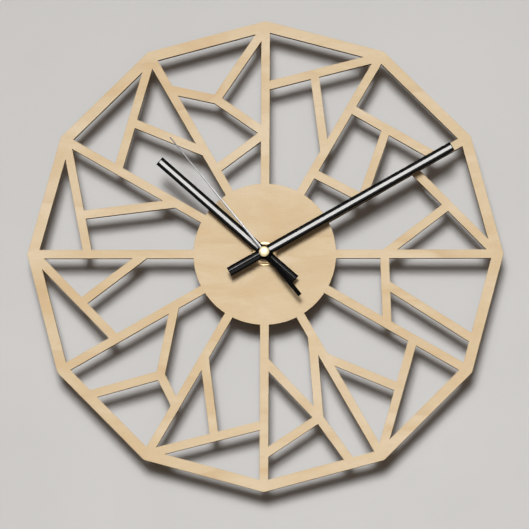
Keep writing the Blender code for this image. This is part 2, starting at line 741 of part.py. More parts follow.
def make_hour_wheel(paint):
    """The hour wheel and its tube to the hour hand."""
    middle = circle_outline((HOUR_TUBE_RADIUS + HOUR_TUBE_BORE_RADIUS) / 2, SMALL_STEPS)
    hour = wheel_outline(HOUR_TEETH, MOTION_DISTANCE, MOTION_PINION_TEETH, MOTION_BEARING)
    shaft = tube(
        HOUR_TUBE_RADIUS,
        HOUR_TUBE_BORE_RADIUS,
        HOUR_WHEEL_DEPTH - WHEEL_THICKNESS - PINION_OVERHANG,
        HOUR_HAND_DEPTH + HAND_HEIGHT,
        SMALL_STEPS,
    )
    made = add_object("hour_wheel", shaft)
    teeth = add_object("hour_wheel_teeth", wheel(hour, HOUR_WHEEL_DEPTH, [middle]))
    return shade(combine(made, [teeth], "UNION"), paint)


def slot_cutter(name, size, back, depth, place):
    """A cutter for a straight slot of a length and a width along X and Z, from a back face inwards."""
    length, width = size
    outline = box_outline(-length / 2, length / 2, -width / 2, width / 2)
    return add_object(name, prism(outline, back - OVERRUN, back + depth), place)


def make_set_knob(paint):
    """The ridged knob on the back that sets the hands, with a slot across it."""
    turn = 360.0 / SET_KNOB_RIDGES
    outline = []
    for ridge in range(SET_KNOB_RIDGES):
        outline.append(bearing_place(turn * ridge, SET_KNOB_RADIUS))
        outline.append(bearing_place(turn * (ridge + 1 / 2), SET_KNOB_RADIUS - SET_KNOB_RIDGE_HEIGHT))
    knob = add_object(
        "set_knob", prism(outline, KNOB_DEPTH - SET_KNOB_THICKNESS, KNOB_DEPTH), MOTION_CENTRE
    )
    seat = drill(
        MOTION_SHAFT_RADIUS + FIT_GAP, KNOB_DEPTH - SET_KNOB_THICKNESS * 3 / 4, KNOB_DEPTH + OVERRUN
    )
    slot_size = (SET_KNOB_SLOT_WIDTH, SET_KNOB_SLOT_LENGTH)
    back = KNOB_DEPTH - SET_KNOB_THICKNESS
    cuts = [
        add_object("knob_seat", seat, MOTION_CENTRE),
        slot_cutter("knob_slot", slot_size, back, SET_KNOB_SLOT_DEPTH, MOTION_CENTRE),
    ]
    return shade(combine(knob, cuts, "DIFFERENCE"), paint)


def post_places():
    """The centres of the square posts in the corners of the wheel chamber."""
    side = CHAMBER_HALF - POST_SIDE / 2
    return [(x, z) for x in (-side, side) for z in (CHAMBER_BOTTOM + POST_SIDE / 2, side)]


def pillar_places():
    """The left, right and top pillars of the bridge, each just outside a wheel."""
    reach = PILLAR_SPACE + PILLAR_RADIUS
    third = tip_radius(THIRD_TEETH, THIRD_DISTANCE, SECOND_PINION_TEETH)
    motion = tip_radius(MOTION_TEETH, MOTION_DISTANCE, MINUTE_PINION_TEETH)
    intermediate = tip_radius(INTERMEDIATE_TEETH, ROTOR_DISTANCE, ROTOR_PINION_TEETH)
    return [
        bearing_place(270.0, third + reach, THIRD_CENTRE),
        bearing_place(90.0, motion + reach, MOTION_CENTRE),
        bearing_place(340.0, intermediate + reach, INTERMEDIATE_CENTRE),
    ]


def stator_post_places():
    """The posts under the free corners of the stator."""
    inset = STATOR_ARM / 2
    return [
        (STATOR_RIGHT - inset, STATOR_BOTTOM + inset),
        (STATOR_RIGHT - inset, STATOR_TOP - inset),
        (STATOR_LEFT + inset, STATOR_TOP - inset),
    ]


def board_post_places():
    """The posts under two opposite corners of the circuit board."""
    inset = BOARD_POST_INSET
    return [
        (BOARD_LEFT + inset, BOARD_BOTTOM + inset),
        (BOARD_RIGHT - inset, BOARD_TOP - inset),
    ]


def case_block(half_width, bottom, top):
    """A solid block of the case with round corners."""
    outline = round_box_outline(-half_width, half_width, bottom, top, CASE_CORNER_RADIUS)
    return prism(outline, 0.0, CASE_DEPTH)


def make_case_shell(paint):
    """The case: a wheel chamber and a battery bay that open backwards, posts and pivots."""
    bay_bottom = BAY_CENTRE_Z - BAY_HALF_HEIGHT
    bay_top = BAY_CENTRE_Z + BAY_HALF_HEIGHT
    bay_block = case_block(BAY_HALF_LENGTH + CASE_WALL, bay_bottom - CASE_WALL, bay_top + CASE_WALL)
    shell = add_object("case_shell", case_block(HALF_CASE, BAY_CENTRE_Z, HALF_CASE))
    combine(shell, [add_object("bay_block", bay_block)], "UNION")
    chamber = round_box_outline(
        -CHAMBER_HALF, CHAMBER_HALF, CHAMBER_BOTTOM, CHAMBER_HALF, CASE_WALL
    )
    bay = box_outline(-BAY_HALF_LENGTH, BAY_HALF_LENGTH, bay_bottom, bay_top)
    flange_seat = BUSHING_FLANGE_THICKNESS + SEAT_GAP
    cuts = [
        add_object("chamber", prism(chamber, -OVERRUN, FRONT_INSIDE)),
        add_object("bay", prism(bay, -OVERRUN, CASE_DEPTH - BAY_FLOOR)),
        add_object(
            "bushing_hole",
            drill(
                BUSHING_RADIUS + FIT_GAP,
                FRONT_INSIDE - OVERRUN,
                CASE_DEPTH + OVERRUN,
                ROUND_STEPS,
            ),
        ),
        add_object(
            "flange_seat",
            drill(
                BUSHING_FLANGE_RADIUS + FIT_GAP,
                CASE_DEPTH - flange_seat,
                CASE_DEPTH + OVERRUN,
                ROUND_STEPS,
            ),
        ),
    ]
    combine(shell, cuts, "DIFFERENCE")
    combine(shell, case_posts(), "UNION")
    combine(shell, case_holes(), "DIFFERENCE")
    return shade(shell, paint)


def case_posts():
    """The posts and pillars that stand on the inside of the case's front wall."""
    foot = FRONT_INSIDE + FRONT_WALL / 2
    half = POST_SIDE / 2 + CASE_WALL / 4
    posts = []
    for x, z in post_places():
        outline = box_outline(x - half, x + half, z - half, z + half)
        posts.append(add_object("post", prism(outline, COVER_THICKNESS + SEAT_GAP, foot)))
    stands = [(place, BRIDGE_DEPTH + SEAT_GAP) for place in pillar_places()]
    stands += [(place, STATOR_DEPTH + SEAT_GAP) for place in stator_post_places()]
    stands += [(place, BOARD_DEPTH + SEAT_GAP) for place in board_post_places()]
    stands.append((ROTOR_CENTRE, ROTOR_FRONT - ROTOR_PIVOT_LENGTH / 2))
    for place, top in stands:
        posts.append(add_object("stand", cylinder(PILLAR_RADIUS, top, foot), place))
    return posts


def case_holes():
    """The screw holes of the posts and the front pivot holes of the train."""
    holes = []
    for place in post_places():
        hole = drill(SCREW_SHANK_RADIUS + FIT_GAP, COVER_THICKNESS, SCREW_LENGTH + OVERRUN)
        holes.append(add_object("screw_hole", hole, place))
    for place in (THIRD_CENTRE, INTERMEDIATE_CENTRE):
        hole = drill(ARBOR_RADIUS + FIT_GAP, FRONT_INSIDE - OVERRUN, PIVOT_END + SEAT_GAP)
        holes.append(add_object("pivot_hole", hole, place))
    rotor_hole = drill(ARBOR_RADIUS + FIT_GAP, MAGNET_DEPTH, ROTOR_FRONT + SEAT_GAP)
    holes.append(add_object("pivot_hole", rotor_hole, ROTOR_CENTRE))
    return holes


def cover_grooves():
    """Cutters for the moulded line inside the cover's edge and the ring round the setting knob."""
    edge = CHAMBER_HALF - SEAT_GAP - COVER_GROOVE_INSET
    bottom = CHAMBER_BOTTOM + SEAT_GAP + COVER_GROOVE_INSET
    inner = edge - COVER_GROOVE_WIDTH
    line = prism(
        round_box_outline(-edge, edge, bottom, edge, CASE_CORNER_RADIUS),
        -OVERRUN,
        COVER_GROOVE_DEPTH,
        [round_box_outline(-inner, inner, bottom + COVER_GROOVE_WIDTH, inner, CASE_CORNER_RADIUS)],
    )
    ring_inside = SET_KNOB_RADIUS + 2 * RUN_GAP + KNOB_RING_SPACE
    ring = tube(ring_inside + COVER_GROOVE_WIDTH, ring_inside, -OVERRUN, COVER_GROOVE_DEPTH)
    return [add_object("line_groove", line), add_object("ring_groove", ring, MOTION_CENTRE)]


def make_rear_cover(paint):
    """The plate that closes the wheel chamber, with a hole for the setting knob."""
    edge = CHAMBER_HALF - SEAT_GAP
    outline = round_box_outline(-edge, edge, CHAMBER_BOTTOM + SEAT_GAP, edge, CASE_WALL)
    cover = add_object("rear_cover", prism(outline, 0.0, COVER_THICKNESS))
    knob_hole = drill(SET_KNOB_RADIUS + 2 * RUN_GAP, -OVERRUN, COVER_THICKNESS + OVERRUN, ROUND_STEPS)
    cuts = [add_object("knob_hole", knob_hole, MOTION_CENTRE), *cover_grooves()]
    for place in post_places():
        shank = drill(SCREW_SHANK_RADIUS + RUN_GAP, -OVERRUN, COVER_THICKNESS + OVERRUN)
        head = drill(SCREW_HEAD_RADIUS + FIT_GAP, -OVERRUN, SCREW_HEAD_HEIGHT + SEAT_GAP)
        cuts.append(add_object("shank_hole", shank, place))
        cuts.append(add_object("head_hole", head, place))
    return shade(combine(cover, cuts, "DIFFERENCE"), paint)


def make_cover_screws(paint):
    """The four screws of the rear cover, each with a cross recess in its head."""
    arms = (
        (SCREW_RECESS_LENGTH, SCREW_RECESS_WIDTH),
        (SCREW_RECESS_WIDTH, SCREW_RECESS_LENGTH),
    )
    for number, place in enumerate(post_places(), 1):
        profile = (
            (0.0, SEAT_GAP),
            (SCREW_HEAD_RADIUS, SEAT_GAP),
            (SCREW_HEAD_RADIUS, SCREW_HEAD_HEIGHT),
            (SCREW_SHANK_RADIUS, SCREW_HEAD_HEIGHT),
            (SCREW_SHANK_RADIUS, SCREW_LENGTH - SCREW_SHANK_RADIUS),
            (0.0, SCREW_LENGTH),
        )
        screw = add_object(f"cover_screw_{number}", lathe(profile, SMALL_STEPS), place)
        recess = [slot_cutter("recess", arm, SEAT_GAP, SCREW_RECESS_DEPTH, place) for arm in arms]
        shade(combine(screw, recess, "DIFFERENCE"), paint)


def make_bridge(paint):
    """The plate that carries the back pivots of the train on three pillars."""
    left, right, top = pillar_places()
    margin = BRIDGE_MARGIN
    outline = [
        (left[0] - margin, left[1] - margin),
        (left[0] - margin, left[1] + margin),
        (top[0] - margin, top[1] + margin),
        (top[0] + margin, top[1] + margin),
        (ROTOR_CENTRE[0] + margin, ROTOR_CENTRE[1] + margin),
        (right[0] + margin, right[1] + margin),
        (right[0] + margin, right[1] - margin),
        (margin, -margin),
        (-margin, -margin),
    ]
    outline.reverse()
    bridge = add_object("train_bridge", prism(outline, PIVOT_BACK, BRIDGE_DEPTH))
    pivots = (
        ((0.0, 0.0), SECOND_ARBOR_RADIUS),
        (THIRD_CENTRE, ARBOR_RADIUS),
        (INTERMEDIATE_CENTRE, ARBOR_RADIUS),
        (ROTOR_CENTRE, ARBOR_RADIUS),
        (MOTION_CENTRE, MOTION_SHAFT_RADIUS),
    )
    cuts = []
    for place, radius in pivots:
        hole = drill(radius + FIT_GAP, PIVOT_BACK - OVERRUN, BRIDGE_DEPTH + OVERRUN)
        cuts.append(add_object("pivot", hole, place))
    return shade(combine(bridge, cuts, "DIFFERENCE"), paint)


def make_hanger(paint):
    """The loop on top of the case that a wall hook goes through."""
    top = HALF_CASE + SEAT_GAP + HANGER_HEIGHT
    foot = HALF_CASE + SEAT_GAP
    shoulder = foot + HANGER_FOOT_HEIGHT
    half = HANGER_WIDTH / 2
    hole_half = HANGER_HOLE_WIDTH / 2
    arch = top - shoulder
    outline = [(-half, foot), (half, foot), (half, shoulder)]
    hole = [(-hole_half, shoulder), (hole_half, shoulder)]
    for step in range(ROUND_STEPS // 2 + 1):
        turn = math.pi * step / (ROUND_STEPS // 2)
        if 0 < step < ROUND_STEPS // 2:
            outline.append((half * math.cos(turn), shoulder + arch * math.sin(turn)))
            hole.append((hole_half * math.cos(turn), shoulder + HANGER_HOLE_HEIGHT * math.sin(turn)))
    outline.append((-half, shoulder))
    loop = add_object("hanger_loop", prism(outline, 0.0, HANGER_THICKNESS, [hole]))
    base = box_outline(-half, half, foot, shoulder - SEAT_GAP)
    foot_block = prism(base, HANGER_THICKNESS / 2, HANGER_FOOT_DEPTH)
    return shade(combine(loop, [add_object("foot", foot_block)], "UNION"), paint)


def make_battery(paint):
    """The round cell, its positive end to the right."""
    left = -BATTERY_LENGTH / 2
    right = left + BATTERY_BODY_LENGTH
    profile = (
        (0.0, left),
        (BATTERY_RADIUS - BATTERY_EDGE, left),
        (BATTERY_RADIUS, left + BATTERY_EDGE),
        (BATTERY_RADIUS, right - BATTERY_EDGE),
        (BATTERY_RADIUS - BATTERY_EDGE, right),
        (BATTERY_NUB_RADIUS, right),
        (BATTERY_NUB_RADIUS, right + BATTERY_NUB_LENGTH),
        (0.0, right + BATTERY_NUB_LENGTH),
    )
    cell = lathe(profile, ROUND_STEPS)
    turn_to_x(cell)
    made = add_object("battery", cell)
    made.location = (0.0, -BATTERY_DEPTH, BAY_CENTRE_Z)
    return shade(made, paint)


def turn_to_x(shape):
    """Lay a turned shape along X, its front end to the right."""
    for vert in shape.verts:
        x, y, z = vert.co
        vert.co = (-y, x, z)


def make_contacts(paint):
    """The bent spring strips at the two ends of the bay."""
    for name, side in (("positive_contact", 1), ("negative_contact", -1)):
        strip = bmesh.new()
        section = contact_section(side)
        verts = [strip.verts.new((x, -depth, -CONTACT_WIDTH / 2)) for x, depth in section]
        strip.faces.new(verts)
        grown = bmesh.ops.extrude_face_region(strip, geom=strip.faces[:])
        moved = [item for item in grown["geom"] if isinstance(item, bmesh.types.BMVert)]
        bmesh.ops.translate(strip, verts=moved, vec=(0.0, 0.0, CONTACT_WIDTH))
        shade(add_object(name, strip, (0.0, BAY_CENTRE_Z)), paint)


def contact_section(side):
    """The section of a bent strip: its ends on the end wall, its middle bowed to the cell."""
    wall = BAY_HALF_LENGTH - SEAT_GAP - CONTACT_THICKNESS
    crest = BATTERY_LENGTH / 2 + SEAT_GAP
    half = CONTACT_WIDTH / 2
    run = [
        (wall, BATTERY_DEPTH - half),
        (crest, BATTERY_DEPTH - half / 3),
        (crest, BATTERY_DEPTH + half / 3),
        (wall, BATTERY_DEPTH + half),
    ]
    behind = [(x + CONTACT_THICKNESS, depth) for x, depth in reversed(run)]
    return [(side * x, depth) for x, depth in run + behind]


def make_stator(paint):
    """The motor's fork, with the hole that the magnet turns in."""
    outline = [
        (STATOR_LEFT, STATOR_BOTTOM),
        (STATOR_RIGHT, STATOR_BOTTOM),
        (STATOR_RIGHT, STATOR_TOP),
        (STATOR_RIGHT - STATOR_ARM, STATOR_TOP),
        (STATOR_RIGHT - STATOR_ARM, STATOR_WINDOW_BOTTOM),
        (STATOR_LEFT + STATOR_ARM, STATOR_WINDOW_BOTTOM),
        (STATOR_LEFT + STATOR_ARM, STATOR_TOP),
        (STATOR_LEFT, STATOR_TOP),
    ]
    bore = hole_outline(MAGNET_RADIUS + MAGNET_SPACE, SMALL_STEPS, ROTOR_CENTRE)
    back = STATOR_DEPTH - STATOR_THICKNESS
    return shade(add_object("stator", prism(outline, back, STATOR_DEPTH, [bore])), paint)


def core_depths():
    """The back and front of the coil's core, which lies behind the stator."""
    front = STATOR_DEPTH - STATOR_THICKNESS - SEAT_GAP
    return front - CORE_THICKNESS, front


def coil_place():
    """The middle of the coil."""
    back, front = core_depths()
    return ((STATOR_LEFT + STATOR_RIGHT) / 2, -(back + front) / 2, COIL_CENTRE_Z)


def make_coil_core(paint):
    """The flat bar through the coil, from arm to arm of the stator."""
    outline = box_outline(STATOR_LEFT, STATOR_RIGHT, STATOR_TOP - CORE_HEIGHT, STATOR_TOP)
    return shade(add_object("coil_core", prism(outline, *core_depths())), paint)


def make_coil_bobbin(paint):
    """The flanged bobbin, with a slot for the core."""
    flange = BOBBIN_LENGTH / 2
    half = COIL_LENGTH / 2
    profile = (
        (0.0, -flange),
        (BOBBIN_FLANGE_RADIUS, -flange),
        (BOBBIN_FLANGE_RADIUS, -half),
        (BOBBIN_BARREL_RADIUS, -half),
        (BOBBIN_BARREL_RADIUS, half),
        (BOBBIN_FLANGE_RADIUS, half),
        (BOBBIN_FLANGE_RADIUS, flange),
        (0.0, flange),
    )
    shape = lathe(profile, ROUND_STEPS)
    turn_to_x(shape)
    bobbin = add_object("coil_bobbin", shape)
    bobbin.location = coil_place()
    back, front = core_depths()
    slot_half = CORE_HEIGHT / 2 + FIT_GAP
    slot = box_outline(-flange - OVERRUN, flange + OVERRUN, -slot_half, slot_half)
    middle_x, _, middle_z = coil_place()
    cut = prism(slot, back - FIT_GAP, front + FIT_GAP)
    cutter = add_object("core_slot", cut, (middle_x, middle_z))
    return shade(combine(bobbin, [cutter], "DIFFERENCE"), paint)


def make_coil_winding(paint):
    """The winding between the bobbin's flanges."""
    half = COIL_LENGTH / 2 - FIT_GAP
    inside = BOBBIN_BARREL_RADIUS + FIT_GAP
    ring = ((inside, -half), (COIL_RADIUS, -half), (COIL_RADIUS, half), (inside, half))
    shape = lathe(ring, ROUND_STEPS, closed=True)
    turn_to_x(shape)
    winding = add_object("coil_winding", shape)
    winding.location = coil_place()
    return shade(winding, paint)


def make_circuit_board(paint):
    """The circuit board."""
    outline = box_outline(BOARD_LEFT, BOARD_RIGHT, BOARD_BOTTOM, BOARD_TOP)
    board = prism(outline, BOARD_DEPTH - BOARD_THICKNESS, BOARD_DEPTH)
    return shade(add_object("circuit_board", board), paint)


def make_controller_chip(paint):
    """The chip under its drop of resin, on the back of the board."""
    face = BOARD_DEPTH - BOARD_THICKNESS - SEAT_GAP
    profile = (
        (0.0, face),
        (CHIP_RADIUS, face),
        (CHIP_RADIUS * 2 / 3, face - CHIP_HEIGHT * 2 / 3),
        (0.0, face - CHIP_HEIGHT),
    )
    place = (BOARD_LEFT + BOARD_WIDTH / 3, (BOARD_BOTTOM + BOARD_TOP) / 2)
    return shade(add_object("controller_chip", lathe(profile, ROUND_STEPS), place), paint)


def make_crystal_can(paint):
    """The quartz crystal's can, which lies upright on the back of the board."""
    can = cylinder(CRYSTAL_RADIUS, -CRYSTAL_LENGTH / 2, CRYSTAL_LENGTH / 2)
    for vert in can.verts:
        x, y, z = vert.co
        vert.co = (x, z, y)
    made = add_object("crystal_can", can)
    depth = BOARD_DEPTH - BOARD_THICKNESS - SEAT_GAP - CRYSTAL_RADIUS
    made.location = (BOARD_RIGHT - BOARD_WIDTH / 4, -depth, (BOARD_BOTTOM + BOARD_TOP) / 2)
    return shade(made, paint)


def make_bushing(paint):
    """The threaded bushing, its flange let into the case front."""
    profile = [
        (BUSHING_BORE_RADIUS, FRONT_INSIDE),
        (BUSHING_RADIUS, FRONT_INSIDE),
        (BUSHING_RADIUS, CASE_DEPTH - BUSHING_FLANGE_THICKNESS),
        (BUSHING_FLANGE_RADIUS, CASE_DEPTH - BUSHING_FLANGE_THICKNESS),
        (BUSHING_FLANGE_RADIUS, CASE_DEPTH),
        (BUSHING_RADIUS - THREAD_DEPTH, CASE_DEPTH),
    ]
    length = BUSHING_END - NUT_DEPTH
    threads = int(length / THREAD_PITCH)
    start = BUSHING_END - threads * THREAD_PITCH
    for number in range(threads):
        depth = start + number * THREAD_PITCH
        profile.append((BUSHING_RADIUS - THREAD_DEPTH, depth))
        profile.append((BUSHING_RADIUS, depth + THREAD_PITCH / 2))
    profile.append((BUSHING_RADIUS - THREAD_DEPTH, BUSHING_END))
    profile.append((BUSHING_BORE_RADIUS, BUSHING_END))
    shape = lathe(profile, ROUND_STEPS, closed=True)
    return shade(add_object("threaded_bushing", shape), paint)


def make_gasket(paint):
    """The rubber ring between the case and the plate."""
    ring = tube(GASKET_RADIUS, BUSHING_HOLE_RADIUS, GASKET_DEPTH, GASKET_DEPTH + GASKET_THICKNESS)
    return shade(add_object("rubber_gasket", ring), paint)


def make_washer(paint):
    """The washer under the nut."""
    ring = tube(WASHER_RADIUS, BUSHING_HOLE_RADIUS, WASHER_DEPTH, WASHER_DEPTH + WASHER_THICKNESS)
    return shade(add_object("brass_washer", ring), paint)


def make_hex_nut(paint):
    """The hexagon nut, its front corners chamfered by a cone."""
    corner = NUT_HALF_FLATS / math.cos(math.pi / 6)
    outline = [bearing_place(30.0 + 60.0 * side, corner) for side in range(6)]
    bore = hole_outline(BUSHING_RADIUS + FIT_GAP, ROUND_STEPS)
    front = NUT_DEPTH + NUT_THICKNESS
    nut = add_object("hex_nut", prism(outline, NUT_DEPTH, front, [bore]))
    rise = NUT_HALF_FLATS - NUT_CHAMFER / 2
    cone = lathe(
        (
            (0.0, NUT_DEPTH - OVERRUN),
            (corner + OVERRUN, NUT_DEPTH - OVERRUN),
            (corner + OVERRUN, front - NUT_CHAMFER * (corner + OVERRUN - rise) / (corner - rise)),
            (rise, front),
            (0.0, front),
        ),
        FINE_STEPS,
    )
    return shade(combine(nut, [add_object("chamfer", cone)], "INTERSECT"), paint)


def turn_to(thing, angle):
    """Turn a hand from twelve o'clock to its clockwise angle."""
    thing.rotation_euler = (0.0, math.radians(angle), 0.0)


def rib_crown_radius():
    """The radius that the front of a rib is rounded to."""
    return (RIB_WIDTH**2 / 4 + RIB_HEIGHT**2) / (2 * RIB_HEIGHT)


def inlay_outline(length, gap=0.0):
    """The strip in a hand's rib, from under the hub's edge to just short of the tip."""
    half = INLAY_WIDTH / 2 + gap
    return box_outline(-half, half, HUB_RADIUS * 3 / 4 - gap, length - RIB_INSET + gap)


def inlay_front(depth):
    """How far forward the strip comes: a hair proud of the rib beside it."""
    crown = rib_crown_radius()
    drop = crown - math.sqrt(crown**2 - INLAY_WIDTH**2 / 4)
    return depth + HAND_HEIGHT - drop + FIT_GAP


def make_hand(name, length, tail, angle, depth, bore, paint):
    """A ribbed hand with square ends, a round hub and a groove in the rib of its long arm."""
    outline = box_outline(-HAND_WIDTH / 2, HAND_WIDTH / 2, -tail, length)
    made = add_object(name, prism(outline, depth, depth + HAND_THICKNESS))
    hub = cylinder(HUB_RADIUS, depth, depth + HUB_HEIGHT, ROUND_STEPS)
    parts = [add_object("hub", hub), add_object("rib", rib_shape(length, tail, depth))]
    combine(made, parts, "UNION")
    floor = inlay_front(depth) - INLAY_THICKNESS - FIT_GAP
    clear = depth + HAND_HEIGHT + OVERRUN
    groove = prism(inlay_outline(length, FIT_GAP), floor, clear)
    hole = drill(bore + FIT_GAP, depth - OVERRUN, clear)
    combine(made, [add_object("groove", groove), add_object("bore", hole)], "DIFFERENCE")
    turn_to(made, angle)
    return shade(made, paint)


def make_inlay(name, length, angle, depth, paint):
    """The pale strip in the groove of a hand."""
    front = inlay_front(depth)
    strip = add_object(name, prism(inlay_outline(length), front - INLAY_THICKNESS, front))
    turn_to(strip, angle)
    return shade(strip, paint)


def make_hour_hand(paint, inlay_paint):
    """The hour hand and its inlay."""
    length, angle, depth = HOUR_HAND_LENGTH, HOUR_HAND_ANGLE, HOUR_HAND_DEPTH
    make_hand("hour_hand", length, HOUR_HAND_TAIL, angle, depth, HOUR_TUBE_RADIUS, paint)
    make_inlay("hour_hand_inlay", length, angle, depth, inlay_paint)


def make_minute_hand(paint, inlay_paint):
    """The minute hand and its inlay."""
    length, angle, depth = MINUTE_HAND_LENGTH, MINUTE_HAND_ANGLE, MINUTE_HAND_DEPTH
    make_hand("minute_hand", length, MINUTE_HAND_TAIL, angle, depth, MINUTE_TUBE_RADIUS, paint)
    make_inlay("minute_hand_inlay", length, angle, depth, inlay_paint)


def rib_shape(length, tail, depth):
    """The crowned rib along the middle of a hand, up from inside its flat plate."""
    shape = bmesh.new()
    half = RIB_WIDTH / 2
    crown = rib_crown_radius()
    foot = depth + HAND_THICKNESS
    section = [(half, foot - HAND_THICKNESS / 2), (-half, foot - HAND_THICKNESS / 2)]
    for step in range(RIB_STEPS + 1):
        x = half * (2 * step / RIB_STEPS - 1)
        section.append((x, foot + RIB_HEIGHT - crown + math.sqrt(crown**2 - x**2)))
    verts = [shape.verts.new((x, -y, RIB_INSET - tail)) for x, y in section]
    shape.faces.new(verts)
    grown = bmesh.ops.extrude_face_region(shape, geom=shape.faces[:])
    moved = [item for item in grown["geom"] if isinstance(item, bmesh.types.BMVert)]
    bmesh.ops.translate(shape, verts=moved, vec=(0.0, 0.0, length + tail - 2 * RIB_INSET))
    return shape


def needle_ridge():
    """The long low ridge on the front of the needle, from the hub to the tip."""
    half = SECOND_HAND_WIDTH / 2
    tip = SECOND_HAND_TIP_WIDTH / 2
    middle = SECOND_HAND_DEPTH + SECOND_HAND_THICKNESS / 2
    edge = SECOND_HAND_DEPTH + SECOND_HAND_THICKNESS
    top = edge + NEEDLE_RIDGE_HEIGHT
    start = CAP_RADIUS / 2
    shape = bmesh.new()
    for x, z in ((half, start), (tip, SECOND_HAND_LENGTH)):
        for across, depth in ((-x, edge), (x, edge), (0.0, top), (0.0, middle)):
            shape.verts.new((across, -depth, z))
    bmesh.ops.convex_hull(shape, input=shape.verts[:])
    bmesh.ops.recalc_face_normals(shape, faces=shape.faces[:])
    return shape


def make_second_hand(paint):
    """The ridged needle with its broad flat tail."""
    half = SECOND_HAND_WIDTH / 2
    tip = SECOND_HAND_TIP_WIDTH / 2
    tail = SECOND_TAIL_WIDTH / 2
    waist = CAP_RADIUS / 2
    outline = [
        (-tail, -SECOND_HAND_TAIL),
        (tail, -SECOND_HAND_TAIL),
        (tail, -waist),
        (half, waist),
        (tip, SECOND_HAND_LENGTH),
        (-tip, SECOND_HAND_LENGTH),
        (-half, waist),
        (-tail, -waist),
    ]
    bore = hole_outline(SECOND_ARBOR_RADIUS + FIT_GAP, SMALL_STEPS)
    front = SECOND_HAND_DEPTH + SECOND_HAND_THICKNESS
    needle = add_object("second_hand", prism(outline, SECOND_HAND_DEPTH, front, [bore]))
    combine(needle, [add_object("ridge", needle_ridge())], "UNION")
    turn_to(needle, SECOND_HAND_ANGLE)
    return shade(needle, paint)


def make_second_hand_socket(paint):
    """The socket under the needle, pressed on the arbor."""
    front = SECOND_HAND_DEPTH - SEAT_GAP
    back = front - SOCKET_HEIGHT / 2
    ring = tube(SOCKET_RADIUS, SECOND_ARBOR_RADIUS + FIT_GAP, back, front, SMALL_STEPS)
    return shade(add_object("second_hand_socket", ring), paint)


def make_hand_cap(paint):
    """The domed cap over the hub."""
    profile = [(0.0, CAP_DEPTH), (CAP_RADIUS, CAP_DEPTH), (CAP_RADIUS, CAP_DEPTH + CAP_SKIRT)]
    dome_steps = SMALL_STEPS // 2
    for step in range(1, dome_steps):
        turn = math.pi / 2 * step / dome_steps
        profile.append(
            (CAP_RADIUS * math.cos(turn), CAP_DEPTH + CAP_SKIRT + CAP_DOME * math.sin(turn))
        )
    profile.append((0.0, CAP_DEPTH + CAP_SKIRT + CAP_DOME))
    return shade(add_object("hand_cap", lathe(profile, ROUND_STEPS)), paint)


def main():
    """Build the clock."""
    remove_startup_objects()
    wood = make_material("plywood", (0.74, 0.57, 0.37), 0.55)
    case_black = make_material("case_black", (0.03, 0.03, 0.03), 0.5)
    gloss_black = make_material("gloss_black", (0.008, 0.008, 0.009), 0.15)
    pale_inlay = make_material("pale_inlay", (0.85, 0.86, 0.82), 0.35)
    brass = make_material("brass", (0.83, 0.64, 0.30), 0.2, 1.0)
    steel = make_material("steel", (0.55, 0.55, 0.56), 0.35, 1.0)
    rubber = make_material("rubber", (0.02, 0.02, 0.02), 0.8)
    white_plastic = make_material("white_plastic", (0.82, 0.82, 0.78), 0.45)
    copper = make_material("copper_wire", (0.72, 0.33, 0.16), 0.35, 1.0)
    board_green = make_material("board_green", (0.05, 0.25, 0.10), 0.45)
    resin = make_material("resin_black", (0.02, 0.02, 0.02), 0.3)
    cell = make_material("cell_sleeve", (0.10, 0.12, 0.16), 0.3)

    make_dial_plate(wood)
    make_case_shell(case_black)
    make_rear_cover(case_black)
    make_cover_screws(steel)
    make_hanger(case_black)
    make_bridge(white_plastic)
    make_rotor_pinion(white_plastic)
    make_rotor_magnet(steel)
    make_intermediate_wheel(white_plastic)
    make_second_wheel(steel)
    make_third_wheel(white_plastic)
    make_centre_wheel(brass)
    make_motion_wheel(white_plastic)
    make_hour_wheel(white_plastic)
    make_set_knob(case_black)
    make_battery(cell)
    make_contacts(steel)
    make_stator(steel)
    make_coil_core(steel)
    make_coil_bobbin(white_plastic)
    make_coil_winding(copper)
    make_circuit_board(board_green)
    make_controller_chip(resin)
    make_crystal_can(steel)
    make_bushing(brass)
    make_gasket(rubber)
    make_washer(brass)
    make_hex_nut(brass)
    make_hour_hand(gloss_black, pale_inlay)
    make_minute_hand(gloss_black, pale_inlay)
    make_second_hand(gloss_black)
    make_second_hand_socket(brass)
    make_hand_cap(brass)


main()
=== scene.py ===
"""Looks of the lattice wall clock: finishes, rounded edges, wall, lamps and camera."""

import math

import bpy
from mathutils import Matrix, Vector

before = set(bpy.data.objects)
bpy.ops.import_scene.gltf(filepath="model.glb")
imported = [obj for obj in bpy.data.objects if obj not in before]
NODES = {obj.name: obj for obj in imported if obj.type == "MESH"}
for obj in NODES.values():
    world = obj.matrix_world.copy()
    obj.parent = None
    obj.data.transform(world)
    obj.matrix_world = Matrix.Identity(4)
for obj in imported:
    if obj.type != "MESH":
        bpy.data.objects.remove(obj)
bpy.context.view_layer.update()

MM = 0.001
SCREWS = ("cover_screw_1", "cover_screw_2", "cover_screw_3", "cover_screw_4")
BRASSES = ("threaded_bushing", "brass_washer", "hex_nut", "second_hand_socket", "centre_wheel")
MOULDINGS = ("case_shell", "rear_cover", "set_knob", "hanger_loop")

# Width and steps of the rounded edges
PLATE_EDGE = HAND_EDGE = 0.10 * MM
WASHER_EDGE = 0.22 * MM
NUT_EDGE = MOULDING_EDGE = 0.12 * MM
SCREW_EDGE = 0.05 * MM
EDGE_STEPS, WASHER_EDGE_STEPS = 2, 3
SHARP_ANGLE = math.radians(35.0)
WELD_REACH = 0.001 * MM

# The wall, as large as any view needs, just behind the clock
WALL_HALF = 4.0
WALL_BEHIND = 0.3 * MM

